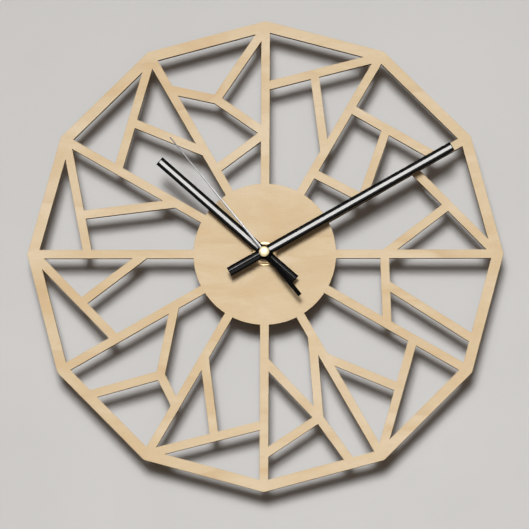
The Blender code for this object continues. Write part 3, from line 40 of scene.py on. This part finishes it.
# The view from a little below and to the right of the middle, in metres, radians and millimetres
VIEW_PLACE = (0.07264, -2.00000, -0.30178)
VIEW_PITCH, VIEW_YAW, VIEW_ROLL = 0.14787, -0.03674, 0.00428
VIEW_LENS = 216.654
SENSOR_WIDTH = 36.0
CLIP_NEAR, CLIP_FAR = 0.01, 20.0

# What most of a noise lies between, and a narrower range for colours that drift
NOISE_LOW, NOISE_HIGH = 0.3, 0.7
CLOUD_LOW, CLOUD_HIGH = 0.35, 0.7

# How a corner is found: by the cosine between its flat sides and its rounded normal
CORNER_COSINE = 0.72
EDGE_SAMPLES = 6

# Node trees


class Tree:
    """A material's node tree, with short calls for the nodes that the finishes share."""

    def __init__(self, name, **sockets):
        self.material = bpy.data.materials.new(name)
        self.material.use_nodes = True
        self.nodes = self.material.node_tree.nodes
        self.links = self.material.node_tree.links
        self.shader = self.nodes["Principled BSDF"]
        for key, value in sockets.items():
            self.shader.inputs[key.replace("_", " ")].default_value = value

    def put(self, value, socket):
        """Links an output, or sets a plain value."""
        if isinstance(value, bpy.types.NodeSocket):
            self.links.new(value, socket)
        elif value is not None:
            socket.default_value = value

    def place(self, scale=(1.0, 1.0, 1.0), turn=0.0):
        """The place in metres on the object, scaled, and turned in degrees about Y."""
        coordinates = self.nodes.new("ShaderNodeTexCoord")
        mapping = self.nodes.new("ShaderNodeMapping")
        mapping.inputs["Scale"].default_value = scale
        mapping.inputs["Rotation"].default_value = (0.0, math.radians(turn), 0.0)
        self.links.new(coordinates.outputs["Object"], mapping.inputs["Vector"])
        return mapping.outputs["Vector"]

    def noise(self, place, scale=1.0, detail=3.0, rough=0.5, distort=0.0):
        """A noise from 0 to 1 about its middle."""
        node = self.nodes.new("ShaderNodeTexNoise")
        self.put(place, node.inputs["Vector"])
        node.inputs["Scale"].default_value = scale
        node.inputs["Detail"].default_value = detail
        node.inputs["Roughness"].default_value = rough
        node.inputs["Distortion"].default_value = distort
        return node.outputs["Fac"]

    def bands(self, place, scale, direction="X", distort=0.0, detail=2.0, fine=1.0):
        """Parallel bands with soft sides."""
        node = self.nodes.new("ShaderNodeTexWave")
        node.wave_type = "BANDS"
        node.bands_direction = direction
        self.put(place, node.inputs["Vector"])
        node.inputs["Scale"].default_value = scale
        node.inputs["Distortion"].default_value = distort
        node.inputs["Detail"].default_value = detail
        node.inputs["Detail Scale"].default_value = fine
        return node.outputs["Fac"]

    def rings(self, scale):
        """Fine rings about the clock's own axis."""
        node = self.nodes.new("ShaderNodeTexWave")
        node.wave_type = "RINGS"
        node.rings_direction = "Y"
        self.put(self.place(), node.inputs["Vector"])
        node.inputs["Scale"].default_value = scale
        return node.outputs["Fac"]

    def calc(self, kind, first, second=None):
        """A sum, product, power or the like."""
        node = self.nodes.new("ShaderNodeMath")
        node.operation = kind
        self.put(first, node.inputs[0])
        self.put(second, node.inputs[1])
        return node.outputs[0]

    def span(self, value, low, high, to_low=0.0, to_high=1.0):
        """Brings a range of a value to another range, held at its ends."""
        node = self.nodes.new("ShaderNodeMapRange")
        node.clamp = True
        limits = {"From Min": low, "From Max": high, "To Min": to_low, "To Max": to_high}
        for key, number in limits.items():
            node.inputs[key].default_value = number
        self.put(value, node.inputs["Value"])
        return node.outputs["Result"]

    def between(self, noise, low=0.0, high=1.0):
        """A value that follows a noise from a low to a high one."""
        return self.span(noise, NOISE_LOW, NOISE_HIGH, low, high)

    def mix(self, share, first, second):
        """Blends two colours."""
        node = self.nodes.new("ShaderNodeMix")
        node.data_type = "RGBA"
        self.put(share, node.inputs[0])
        self.put(opaque(first), node.inputs[6])
        self.put(opaque(second), node.inputs[7])
        return node.outputs[2]

    def clouds(self, value, first, second):
        """Two colours that drift into each other with a noise."""
        return self.mix(self.span(value, CLOUD_LOW, CLOUD_HIGH), first, second)

    def facing(self):
        """How squarely the surface faces the front or the back, from 0 to 1."""
        geometry = self.nodes.new("ShaderNodeNewGeometry")
        parts = self.nodes.new("ShaderNodeSeparateXYZ")
        self.links.new(geometry.outputs["Normal"], parts.inputs[0])
        return self.calc("ABSOLUTE", parts.outputs["Y"])

    def place_part(self, axis):
        """One coordinate of the place on the object, in metres."""
        parts = self.nodes.new("ShaderNodeSeparateXYZ")
        self.links.new(self.place(), parts.inputs[0])
        return parts.outputs[axis]

    def radius(self):
        """How far the place on the object is from the clock's own axis."""
        across, up = self.place_part("X"), self.place_part("Z")
        across_squared = self.calc("MULTIPLY", across, across)
        return self.calc("SQRT", self.calc("ADD", across_squared, self.calc("MULTIPLY", up, up)))

    def bump(self, height, strength, distance, under=None):
        """A relief of the surface."""
        node = self.nodes.new("ShaderNodeBump")
        node.inputs["Strength"].default_value = strength
        node.inputs["Distance"].default_value = distance
        self.put(height, node.inputs["Height"])
        self.put(under, node.inputs["Normal"])
        return node.outputs["Normal"]

    def near_edge(self, reach, most=1.0):
        """How near a corner of the surface is, from 0 in the open to the most on the corner."""
        soft = self.nodes.new("ShaderNodeBevel")
        soft.samples = EDGE_SAMPLES
        soft.inputs["Radius"].default_value = reach
        geometry = self.nodes.new("ShaderNodeNewGeometry")
        product = self.nodes.new("ShaderNodeVectorMath")
        product.operation = "DOT_PRODUCT"
        self.links.new(soft.outputs["Normal"], product.inputs[0])
        self.links.new(geometry.outputs["True Normal"], product.inputs[1])
        return self.span(product.outputs["Value"], 1.0, CORNER_COSINE, 0.0, most)

    def gleam(self, level):
        """Links how strongly the surface mirrors, where that varies over it."""
        self.put(level, self.shader.inputs["Specular IOR Level"])

    def finish(self, colour, roughness, normal):
        """Links what varies over the surface to the shader."""
        self.put(opaque(colour), self.shader.inputs["Base Color"])
        self.put(roughness, self.shader.inputs["Roughness"])
        self.put(normal, self.shader.inputs["Normal"])
        return self.material


def opaque(colour):
    """A plain colour with its alpha."""
    return (*colour, 1.0) if isinstance(colour, tuple) else colour


# Finishes


def birch_face(tree, fibre):
    """The sanded face: broad figure, growth lines, fibres, pores, flecks, and smoke by the cuts."""
    straw, honey = (0.750, 0.585, 0.372), (0.700, 0.525, 0.302)
    pale_figure, deep_figure = (0.815, 0.670, 0.480), (0.665, 0.455, 0.225)
    late_wood, pale_fibre = (0.600, 0.400, 0.195), (0.800, 0.655, 0.450)
    open_pore, brown_fleck = (0.430, 0.280, 0.140), (0.620, 0.440, 0.240)
    smoke_stain = (0.310, 0.165, 0.070)
    growth_rings = 7.0

    drift = tree.noise(tree.place((0.5, 1.0, 1.0)), 9.0, detail=2.0)
    figure = tree.noise(tree.place((0.7, 1.0, 1.9), -28.0), 24.0, rough=0.55, distort=0.9)
    growth = tree.noise(tree.place((0.26, 1.0, 1.0), 9.0), 13.0, detail=2.0, rough=0.38, distort=0.25)
    year = tree.calc("FRACT", tree.calc("MULTIPLY", growth, growth_rings))
    late = tree.calc("MULTIPLY", tree.span(year, 0.62, 0.94), tree.span(year, 1.0, 0.94))
    patches = tree.noise(tree.place((0.6, 1.0, 1.0)), 21.0, detail=2.0)
    late_strength = tree.span(patches, 0.38, 0.66, 0.062, 0.62)
    pores = tree.noise(tree.place((420.0, 5200.0, 5200.0)), detail=2.0)
    flecks = tree.noise(tree.place((300.0, 900.0, 900.0)), detail=2.0, rough=0.45)

    face = tree.mix(tree.span(drift, 0.35, 0.68), straw, honey)
    face = tree.mix(tree.span(figure, 0.50, 0.68, 0.0, 0.60), face, pale_figure)
    face = tree.mix(tree.span(figure, 0.48, 0.30, 0.0, 0.62), face, deep_figure)
    face = tree.mix(tree.calc("MULTIPLY", late, late_strength), face, late_wood)
    face = tree.mix(tree.span(fibre, 0.38, 0.70, 0.0, 0.24), face, pale_fibre)
    face = tree.mix(tree.span(pores, 0.64, 0.74, 0.0, 0.30), face, open_pore)
    face = tree.mix(tree.span(flecks, 0.58, 0.72, 0.0, 0.24), face, brown_fleck)

    smoke = tree.noise(tree.place(), 160.0, rough=0.6)
    smoky = tree.span(smoke, CLOUD_LOW, CLOUD_HIGH, 0.20, 0.60)
    return tree.mix(tree.calc("MULTIPLY", tree.near_edge(0.5 * MM), smoky), face, smoke_stain)


def charred_edge(tree, burn):
    """The laser's cut: char, through which the paler veneers show."""
    soot, brown, veneer = (0.020, 0.009, 0.004), (0.105, 0.050, 0.020), (0.205, 0.110, 0.045)
    veneers = tree.bands(tree.place(), 330.0, "Y", distort=0.25, detail=1.0, fine=40.0)
    char = tree.mix(tree.span(burn, 0.36, 0.66), soot, brown)
    return tree.mix(tree.span(veneers, 0.55, 0.95, 0.0, 0.55), char, veneer)


def birch_plywood():
    """Sanded birch ply with a faint figure, and laser-charred edges that show the veneers."""
    tree = Tree("birch_plywood")
    fibre = tree.noise(tree.place((95.0, 2600.0, 2600.0)), detail=4.0, rough=0.65)
    burn = tree.noise(tree.place((1900.0, 160.0, 1900.0)), detail=4.0, rough=0.6)
    on_face = tree.span(tree.facing(), 0.45, 0.80)
    colour = tree.mix(on_face, charred_edge(tree, burn), birch_face(tree, fibre))
    tree.gleam(tree.calc("MULTIPLY", on_face, 0.28))
    fine = tree.bump(fibre, strength=0.10, distance=0.05 * MM)
    relief = tree.bump(burn, strength=0.25, distance=0.08 * MM, under=fine)
    return tree.finish(colour, tree.between(fibre, 0.46, 0.62), relief)


def moulded_black():
    """Black moulded plastic with a fine spark-eroded grain and rubbed edges."""
    black, dark_grey, rubbed = (0.017, 0.017, 0.018), (0.030, 0.030, 0.031), (0.105, 0.105, 0.108)
    tree = Tree("moulded_black", Specular_IOR_Level=0.42)
    grain = tree.noise(tree.place(), 5200.0, rough=0.6)
    colour = tree.clouds(tree.noise(tree.place(), 90.0), black, dark_grey)
    colour = tree.mix(tree.near_edge(0.5 * MM, 0.70), colour, rubbed)
    relief = tree.bump(grain, strength=0.30, distance=0.04 * MM)
    return tree.finish(colour, tree.between(grain, 0.42, 0.60), relief)


def gloss_black():
    """Black paint on stamped aluminium, with a faint orange peel. Only its slopes are glossy."""
    black, haze_grey, rubbed = (0.0020, 0.0020, 0.0022), (0.0045, 0.0045, 0.0048), (0.040, 0.040, 0.042)
    tree = Tree("gloss_black_paint")
    peel = tree.noise(tree.place(), 1500.0, detail=2.0, rough=0.4)
    scuff = tree.noise(tree.place((4200.0, 900.0, 700.0), 34.3775), rough=0.6)
    colour = tree.clouds(tree.noise(tree.place(), 240.0, detail=4.0, rough=0.65), black, haze_grey)
    colour = tree.mix(tree.near_edge(0.18 * MM, 0.20), colour, rubbed)
    tree.gleam(tree.span(tree.facing(), 0.9990, 0.9940, 0.0, 0.26))
    relief = tree.bump(peel, strength=0.06, distance=0.02 * MM)
    return tree.finish(colour, tree.between(scuff, 0.13, 0.22), relief)


def needle_black():
    """Black paint on the sheet of the second hand, burnished on the ridge and dull elsewhere."""
    black, dark_grey = (0.003, 0.003, 0.003), (0.008, 0.008, 0.008)
    level, sloping = 0.9985, 0.9935
    tree = Tree("needle_black_paint", IOR=1.8)
    grain = tree.noise(tree.place(), 3600.0, rough=0.6)
    facing = tree.facing()
    tree.gleam(tree.span(facing, level, sloping))
    dull = tree.calc("MULTIPLY", tree.span(facing, sloping, level), tree.between(grain, 0.25, 0.40))
    roughness = tree.calc("ADD", dull, tree.between(grain, 0.28, 0.34))
    relief = tree.bump(grain, strength=0.04, distance=0.02 * MM)
    return tree.finish(tree.clouds(grain, black, dark_grey), roughness, relief)


def pale_strip():
    """The white strip let into the ribs of the hands."""
    white, off_white = (0.735, 0.737, 0.730), (0.690, 0.692, 0.685)
    edge_grey, speck_grey = (0.330, 0.330, 0.330), (0.520, 0.520, 0.510)
    tree = Tree("pale_strip", Specular_IOR_Level=0.08)
    grain = tree.noise(tree.place(), 2600.0, rough=0.6)
    colour = tree.clouds(tree.noise(tree.place(), 60.0), white, off_white)
    colour = tree.mix(tree.near_edge(0.25 * MM, 0.55), colour, edge_grey)
    colour = tree.mix(tree.span(grain, 0.55, 0.75, 0.0, 0.12), colour, speck_grey)
    relief = tree.bump(grain, strength=0.10, distance=0.02 * MM)
    return tree.finish(colour, tree.between(grain, 0.22, 0.36), relief)


def brass(name, pale, deep, roughness, flats=None):
    """Turned brass: fine rings from the lathe, a little tarnish, and, when a colour for the flat faces
    is given, painted shade there: a darker, rougher brass on faces that face the front, which tones down
    the lamp's reflection and eases off between 6.5 and 6.9 mm from the axis, so a brighter ring stays as
    a painted highlight.
    """
    tarnish = (0.420, 0.250, 0.090)
    shade_full_within, shade_eased_beyond, flats_dulling = 6.5 * MM, 6.9 * MM, 0.26
    tree = Tree(name, Metallic=1.0)
    cloud = tree.noise(tree.place(), 420.0, detail=4.0, rough=0.6)
    spots = tree.noise(tree.place(), 1500.0, rough=0.7)
    colour = tree.clouds(cloud, pale, deep)
    colour = tree.mix(tree.span(spots, 0.62, 0.76, 0.0, 0.35), colour, tarnish)
    rough = tree.between(cloud, *roughness)
    if flats:
        # Painted shade: front-facing flat faces get the darker colour, fully within 6.5 mm of the axis
        # and at 55% beyond 6.9 mm, leaving a brighter ring as a painted highlight.
        shade_by_radius = tree.span(tree.radius(), shade_full_within, shade_eased_beyond, 1.0, 0.55)
        flat = tree.calc("MULTIPLY", tree.span(tree.facing(), 0.95, 0.995), shade_by_radius)
        colour = tree.mix(flat, colour, flats)
        rough = tree.calc("ADD", rough, tree.calc("MULTIPLY", flat, flats_dulling))
    relief = tree.bump(tree.rings(1500.0), strength=0.05, distance=0.02 * MM)
    return tree.finish(colour, rough, relief)


def clamp_brass():
    """The brass of the clamp under the hands, with painted shade on its flat faces."""
    # The third colour is the painted shade for the flat faces.
    pale, deep, dull = (0.860, 0.680, 0.420), (0.720, 0.500, 0.270), (0.420, 0.300, 0.170)
    return brass("turned_brass", pale, deep, (0.22, 0.30), dull)


def cap_brass():
    """The paler satin brass of the cap."""
    return brass("satin_brass", (0.980, 0.850, 0.560), (0.950, 0.790, 0.470), (0.40, 0.48))


def drawn_steel(name, base, stretch):
    """Plain steel with fine drawn lines."""
    lighter, darker = 1.12, 0.78
    tree = Tree(name, Metallic=1.0)
    lines = tree.noise(tree.place(stretch), detail=4.0, rough=0.6)
    cloud = tree.noise(tree.place(), 260.0, detail=4.0, rough=0.6)
    light = tuple(min(1.0, part * lighter) for part in base)
    dark = tuple(part * darker for part in base)
    roughness = tree.between(lines, 0.24, 0.42)
    relief = tree.bump(lines, strength=0.18, distance=0.02 * MM)
    return tree.finish(tree.clouds(cloud, light, dark), roughness, relief)


def black_rubber():
    """Cut rubber sheet."""
    black, grey = (0.014, 0.014, 0.014), (0.034, 0.033, 0.032)
    tree = Tree("gasket_rubber", Specular_IOR_Level=0.30)
    grain = tree.noise(tree.place(), 3000.0, detail=4.0, rough=0.7)
    colour = tree.mix(tree.between(grain), black, grey)
    relief = tree.bump(grain, strength=0.4, distance=0.05 * MM)
    return tree.finish(colour, tree.between(grain, 0.70, 0.90), relief)


def white_acetal():
    """Translucent-looking white moulded wheels and plates."""
    white, ivory = (0.815, 0.812, 0.770), (0.760, 0.757, 0.710)
    tree = Tree("white_acetal", Specular_IOR_Level=0.45)
    flow = tree.noise(tree.place(), 180.0, distort=1.5)
    grain = tree.noise(tree.place(), 4200.0, detail=2.0)
    colour = tree.mix(tree.between(flow), white, ivory)
    relief = tree.bump(grain, strength=0.12, distance=0.02 * MM)
    return tree.finish(colour, tree.between(grain, 0.28, 0.42), relief)


def enamelled_copper():
    """Fine copper wire wound side by side."""
    groove, crown, bright = (0.270, 0.090, 0.035), (0.790, 0.350, 0.165), (0.860, 0.470, 0.250)
    tree = Tree("enamelled_copper", Metallic=1.0, Coat_Weight=0.6, Coat_Roughness=0.12)
    turns = tree.bands(tree.place(), 1600.0, distort=0.8, fine=4.0)
    cloud = tree.noise(tree.place((1600.0, 200.0, 200.0)))
    colour = tree.mix(turns, groove, crown)
    colour = tree.mix(tree.span(cloud, 0.4, 0.7, 0.0, 0.4), colour, bright)
    relief = tree.bump(turns, strength=0.8, distance=0.06 * MM)
    return tree.finish(colour, tree.between(cloud, 0.22, 0.38), relief)


def circuit_green():
    """Green solder mask over copper tracks."""
    mask, track, grain_green = (0.020, 0.135, 0.052), (0.065, 0.290, 0.110), (0.030, 0.175, 0.070)
    flat = (1.0, 0.0, 1.0)
    tree = Tree("circuit_green", Specular_IOR_Level=0.5, Coat_Weight=0.3, Coat_Roughness=0.2)
    across = tree.bands(tree.place(flat, 45.0), 260.0, distort=2.2, detail=0.0)
    along = tree.bands(tree.place(flat), 210.0, "Z", distort=1.4, detail=0.0)
    tracks = tree.calc("MAXIMUM", tree.span(across, 0.80, 0.86), tree.span(along, 0.84, 0.90))
    grain = tree.noise(tree.place(), 2400.0)
    colour = tree.mix(tracks, mask, track)
    colour = tree.mix(tree.span(grain, 0.5, 0.8, 0.0, 0.3), colour, grain_green)
    relief = tree.bump(tracks, strength=0.5, distance=0.04 * MM)
    return tree.finish(colour, tree.between(grain, 0.26, 0.40), relief)


def black_resin():
    """A drop of black epoxy, glossy and a little wavy."""
    black, dark_grey = (0.012, 0.012, 0.013), (0.024, 0.024, 0.025)
    tree = Tree("black_resin", Specular_IOR_Level=0.5)
    swell = tree.noise(tree.place(), 620.0, detail=2.0)
    colour = tree.mix(tree.between(swell), black, dark_grey)
    relief = tree.bump(swell, strength=0.4, distance=0.20 * MM)
    return tree.finish(colour, tree.between(swell, 0.10, 0.24), relief)


def cell_sleeve():
    """A plain sleeve, dark with a lighter end band, a satin film over it, and steel ends."""
    navy, pale_grey = (0.050, 0.068, 0.105), (0.400, 0.425, 0.450)
    grain_blue, end_steel = (0.110, 0.130, 0.170), (0.600, 0.595, 0.580)
    band_start, line_start, line_end, steel_start = 12.0 * MM, 10.6 * MM, 11.3 * MM, 23.6 * MM
    blur, band_blur = 0.1 * MM, 0.15 * MM
    tree = Tree("cell_sleeve", Specular_IOR_Level=0.5, Coat_Weight=0.5, Coat_Roughness=0.18)
    along = tree.place_part("X")
    begun = tree.span(along, line_start, line_start + blur)
    line = tree.calc("MULTIPLY", begun, tree.span(along, line_end, line_end - blur))
    grain = tree.noise(tree.place((300.0, 2600.0, 2600.0)))
    colour = tree.mix(tree.span(along, band_start, band_start + band_blur), navy, pale_grey)
    colour = tree.mix(line, colour, pale_grey)
    colour = tree.mix(tree.span(grain, 0.5, 0.8, 0.0, 0.25), colour, grain_blue)
    steel_end = tree.span(tree.calc("ABSOLUTE", along), steel_start, steel_start + blur)
    colour = tree.mix(steel_end, colour, end_steel)
    tree.put(steel_end, tree.shader.inputs["Metallic"])
    relief = tree.bump(grain, strength=0.08, distance=0.02 * MM)
    return tree.finish(colour, tree.between(grain, 0.24, 0.36), relief)


def wall_paint():
    """Pale matt paint over a fine plaster. From behind, and to the lamps there, it is clear."""
    pale, paler = (0.665, 0.660, 0.650), (0.690, 0.684, 0.674)
    matt = 0.9
    tree = Tree("wall_paint", Specular_IOR_Level=0.15)
    plaster = tree.noise(tree.place(), 900.0, detail=4.0, rough=0.7)
    colour = tree.mix(tree.between(tree.noise(tree.place(), 12.0)), paler, pale)
    tree.finish(colour, matt, tree.bump(plaster, strength=0.20, distance=0.15 * MM))
    geometry = tree.nodes.new("ShaderNodeNewGeometry")
    path = tree.nodes.new("ShaderNodeLightPath")
    first_bounce = 0.5
    direct = tree.calc("LESS_THAN", path.outputs["Diffuse Depth"], first_bounce)
    lamps = tree.calc("MULTIPLY", path.outputs["Is Shadow Ray"], direct)
    around = tree.calc("MAXIMUM", lamps, path.outputs["Is Diffuse Ray"])
    clear = tree.calc("MAXIMUM", geometry.outputs["Backfacing"], around)
    window = tree.nodes.new("ShaderNodeBsdfTransparent")
    choice = tree.nodes.new("ShaderNodeMixShader")
    tree.links.new(clear, choice.inputs[0])
    tree.links.new(tree.shader.outputs[0], choice.inputs[1])
    tree.links.new(window.outputs[0], choice.inputs[2])
    tree.links.new(choice.outputs[0], tree.nodes["Material Output"].inputs["Surface"])
    return tree.material


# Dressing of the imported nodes


def dress(material, *names):
    """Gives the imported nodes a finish."""
    for name in names:
        for slot in NODES[name].material_slots:
            slot.material = material


def dress_all():
    """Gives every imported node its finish."""
    steel = drawn_steel("satin_steel", (0.52, 0.52, 0.53), (60.0, 900.0, 3600.0))
    iron = drawn_steel("stamped_iron", (0.42, 0.42, 0.44), (300.0, 900.0, 2400.0))
    magnet = drawn_steel("sintered_magnet", (0.20, 0.20, 0.21), (2000.0, 2000.0, 2000.0))
    plated = drawn_steel("plated_steel", (0.55, 0.545, 0.53), (700.0, 900.0, 800.0))
    acetal = white_acetal()
    dress(birch_plywood(), "dial_plate")
    dress(moulded_black(), *MOULDINGS)
    dress(plated, *SCREWS)
    dress(steel, "positive_contact", "negative_contact", "second_wheel", "crystal_can")
    dress(iron, "stator", "coil_core")
    dress(magnet, "rotor_magnet")
    dress(clamp_brass(), *BRASSES)
    dress(cap_brass(), "hand_cap")
    dress(black_rubber(), "rubber_gasket")
    dress(acetal, "train_bridge", "rotor_pinion", "intermediate_wheel", "third_wheel")
    dress(acetal, "motion_wheel", "hour_wheel", "coil_bobbin")
    dress(enamelled_copper(), "coil_winding")
    dress(circuit_green(), "circuit_board")
    dress(black_resin(), "controller_chip")
    dress(cell_sleeve(), "battery")
    dress(gloss_black(), "hour_hand", "minute_hand")
    dress(needle_black(), "second_hand")
    dress(pale_strip(), "hour_hand_inlay", "minute_hand_inlay")


def soften(width, *names, steps=EDGE_STEPS):
    """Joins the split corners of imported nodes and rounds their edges, so that they catch the light."""
    for name in names:
        weld = NODES[name].modifiers.new("joined corners", "WELD")
        weld.merge_threshold = WELD_REACH
        bevel = NODES[name].modifiers.new("soft edges", "BEVEL")
        bevel.width = width
        bevel.segments = steps
        bevel.limit_method = "ANGLE"
        bevel.angle_limit = SHARP_ANGLE
        bevel.use_clamp_overlap = True


def soften_all():
    """Rounds the edges that a look from near by shows."""
    soften(PLATE_EDGE, "dial_plate")
    soften(HAND_EDGE, "hour_hand", "minute_hand")
    soften(WASHER_EDGE, "brass_washer", steps=WASHER_EDGE_STEPS)
    soften(NUT_EDGE, "hex_nut")
    soften(MOULDING_EDGE, *MOULDINGS)
    soften(SCREW_EDGE, *SCREWS)


# Wall, light and camera


def make_wall():
    """A flat wall just behind the clock, which shows only from the front."""
    mesh = bpy.data.meshes.new("wall")
    signs = ((-1, -1), (1, -1), (1, 1), (-1, 1))
    corners = [(across * WALL_HALF, WALL_BEHIND, up * WALL_HALF) for across, up in signs]
    mesh.from_pydata(corners, [], [(0, 1, 2, 3)])
    wall = bpy.data.objects.new("wall", mesh)
    bpy.context.scene.collection.objects.link(wall)
    mesh.materials.append(wall_paint())


def lamp(name, place, size, power, spread=180.0, aim=(0.0, 0.0, 0.0)):
    """A soft round lamp that looks at the aim point; a narrow spread dims what is off that line."""
    data = bpy.data.lights.new(name, "AREA")
    data.shape = "DISK"
    data.size = size
    data.energy = power
    data.spread = math.radians(spread)
    made = bpy.data.objects.new(name, data)
    made.location = place
    made.rotation_euler = (Vector(aim) - Vector(place)).to_track_quat("-Z", "Y").to_euler()
    made.visible_camera = False
    bpy.context.scene.collection.objects.link(made)


def make_lamps():
    """A key from above on the left with a wider halo round it, a weak fill, and two for the back."""
    key_place, key_aim, key_spread = (-0.16, -3.48, 1.07), (0.07, 0.0, -0.28), 50.0
    lamp("key", key_place, size=1.20, power=9.1, spread=key_spread, aim=key_aim)
    lamp("key_halo", key_place, size=2.4, power=3.1, spread=key_spread, aim=key_aim)
    lamp("fill", (0.90, -4.40, -1.50), size=2.4, power=4.0)
    lamp("rear_key", (1.50, 4.00, 2.60), size=1.4, power=190.0)
    lamp("rear_fill", (-2.20, 3.60, -0.70), size=2.4, power=60.0)


def make_world(strength, tint, backdrop):
    """An even surround: what the lens and reflections see is the backdrop's colour."""
    world = bpy.data.worlds.new("surround")
    world.use_nodes = True
    bpy.context.scene.world = world
    nodes, links = world.node_tree.nodes, world.node_tree.links
    light = nodes["Background"]
    light.inputs["Color"].default_value = opaque(tint)
    light.inputs["Strength"].default_value = strength
    seen = nodes.new("ShaderNodeBackground")
    seen.inputs["Color"].default_value = opaque(backdrop)
    seen.inputs["Strength"].default_value = 1.0
    path = nodes.new("ShaderNodeLightPath")
    either = nodes.new("ShaderNodeMath")
    either.operation = "MAXIMUM"
    links.new(path.outputs["Is Camera Ray"], either.inputs[0])
    links.new(path.outputs["Is Glossy Ray"], either.inputs[1])
    every = nodes.new("ShaderNodeMath")
    every.operation = "MAXIMUM"
    links.new(either.outputs[0], every.inputs[0])
    links.new(path.outputs["Is Transmission Ray"], every.inputs[1])
    choice = nodes.new("ShaderNodeMixShader")
    links.new(every.outputs[0], choice.inputs[0])
    links.new(light.outputs[0], choice.inputs[1])
    links.new(seen.outputs[0], choice.inputs[2])
    links.new(choice.outputs[0], nodes["World Output"].inputs["Surface"])


def make_camera():
    """A long lens that looks up at the clock, turned a little to the left."""
    data = bpy.data.cameras.new("camera")
    data.sensor_width = SENSOR_WIDTH
    data.lens = VIEW_LENS
    data.clip_start, data.clip_end = CLIP_NEAR, CLIP_FAR
    ahead = math.cos(VIEW_PITCH)
    forward = Vector((math.sin(VIEW_YAW) * ahead, math.cos(VIEW_YAW) * ahead, math.sin(VIEW_PITCH)))
    level = Vector((math.cos(VIEW_YAW), -math.sin(VIEW_YAW), 0.0))
    above = level.cross(forward)
    right = math.cos(VIEW_ROLL) * level + math.sin(VIEW_ROLL) * above
    up = math.cos(VIEW_ROLL) * above - math.sin(VIEW_ROLL) * level
    camera = bpy.data.objects.new("camera", data)
    turn = Matrix((right, up, -forward)).transposed().to_4x4()
    camera.matrix_world = Matrix.Translation(VIEW_PLACE) @ turn
    bpy.context.scene.collection.objects.link(camera)
    bpy.context.scene.camera = camera


dress_all()
soften_all()
make_wall()
make_world(strength=0.060, tint=(1.0, 0.70, 0.48), backdrop=(0.68, 0.675, 0.665))
make_lamps()
make_camera()
bpy.context.scene.view_settings.view_transform = "Standard"
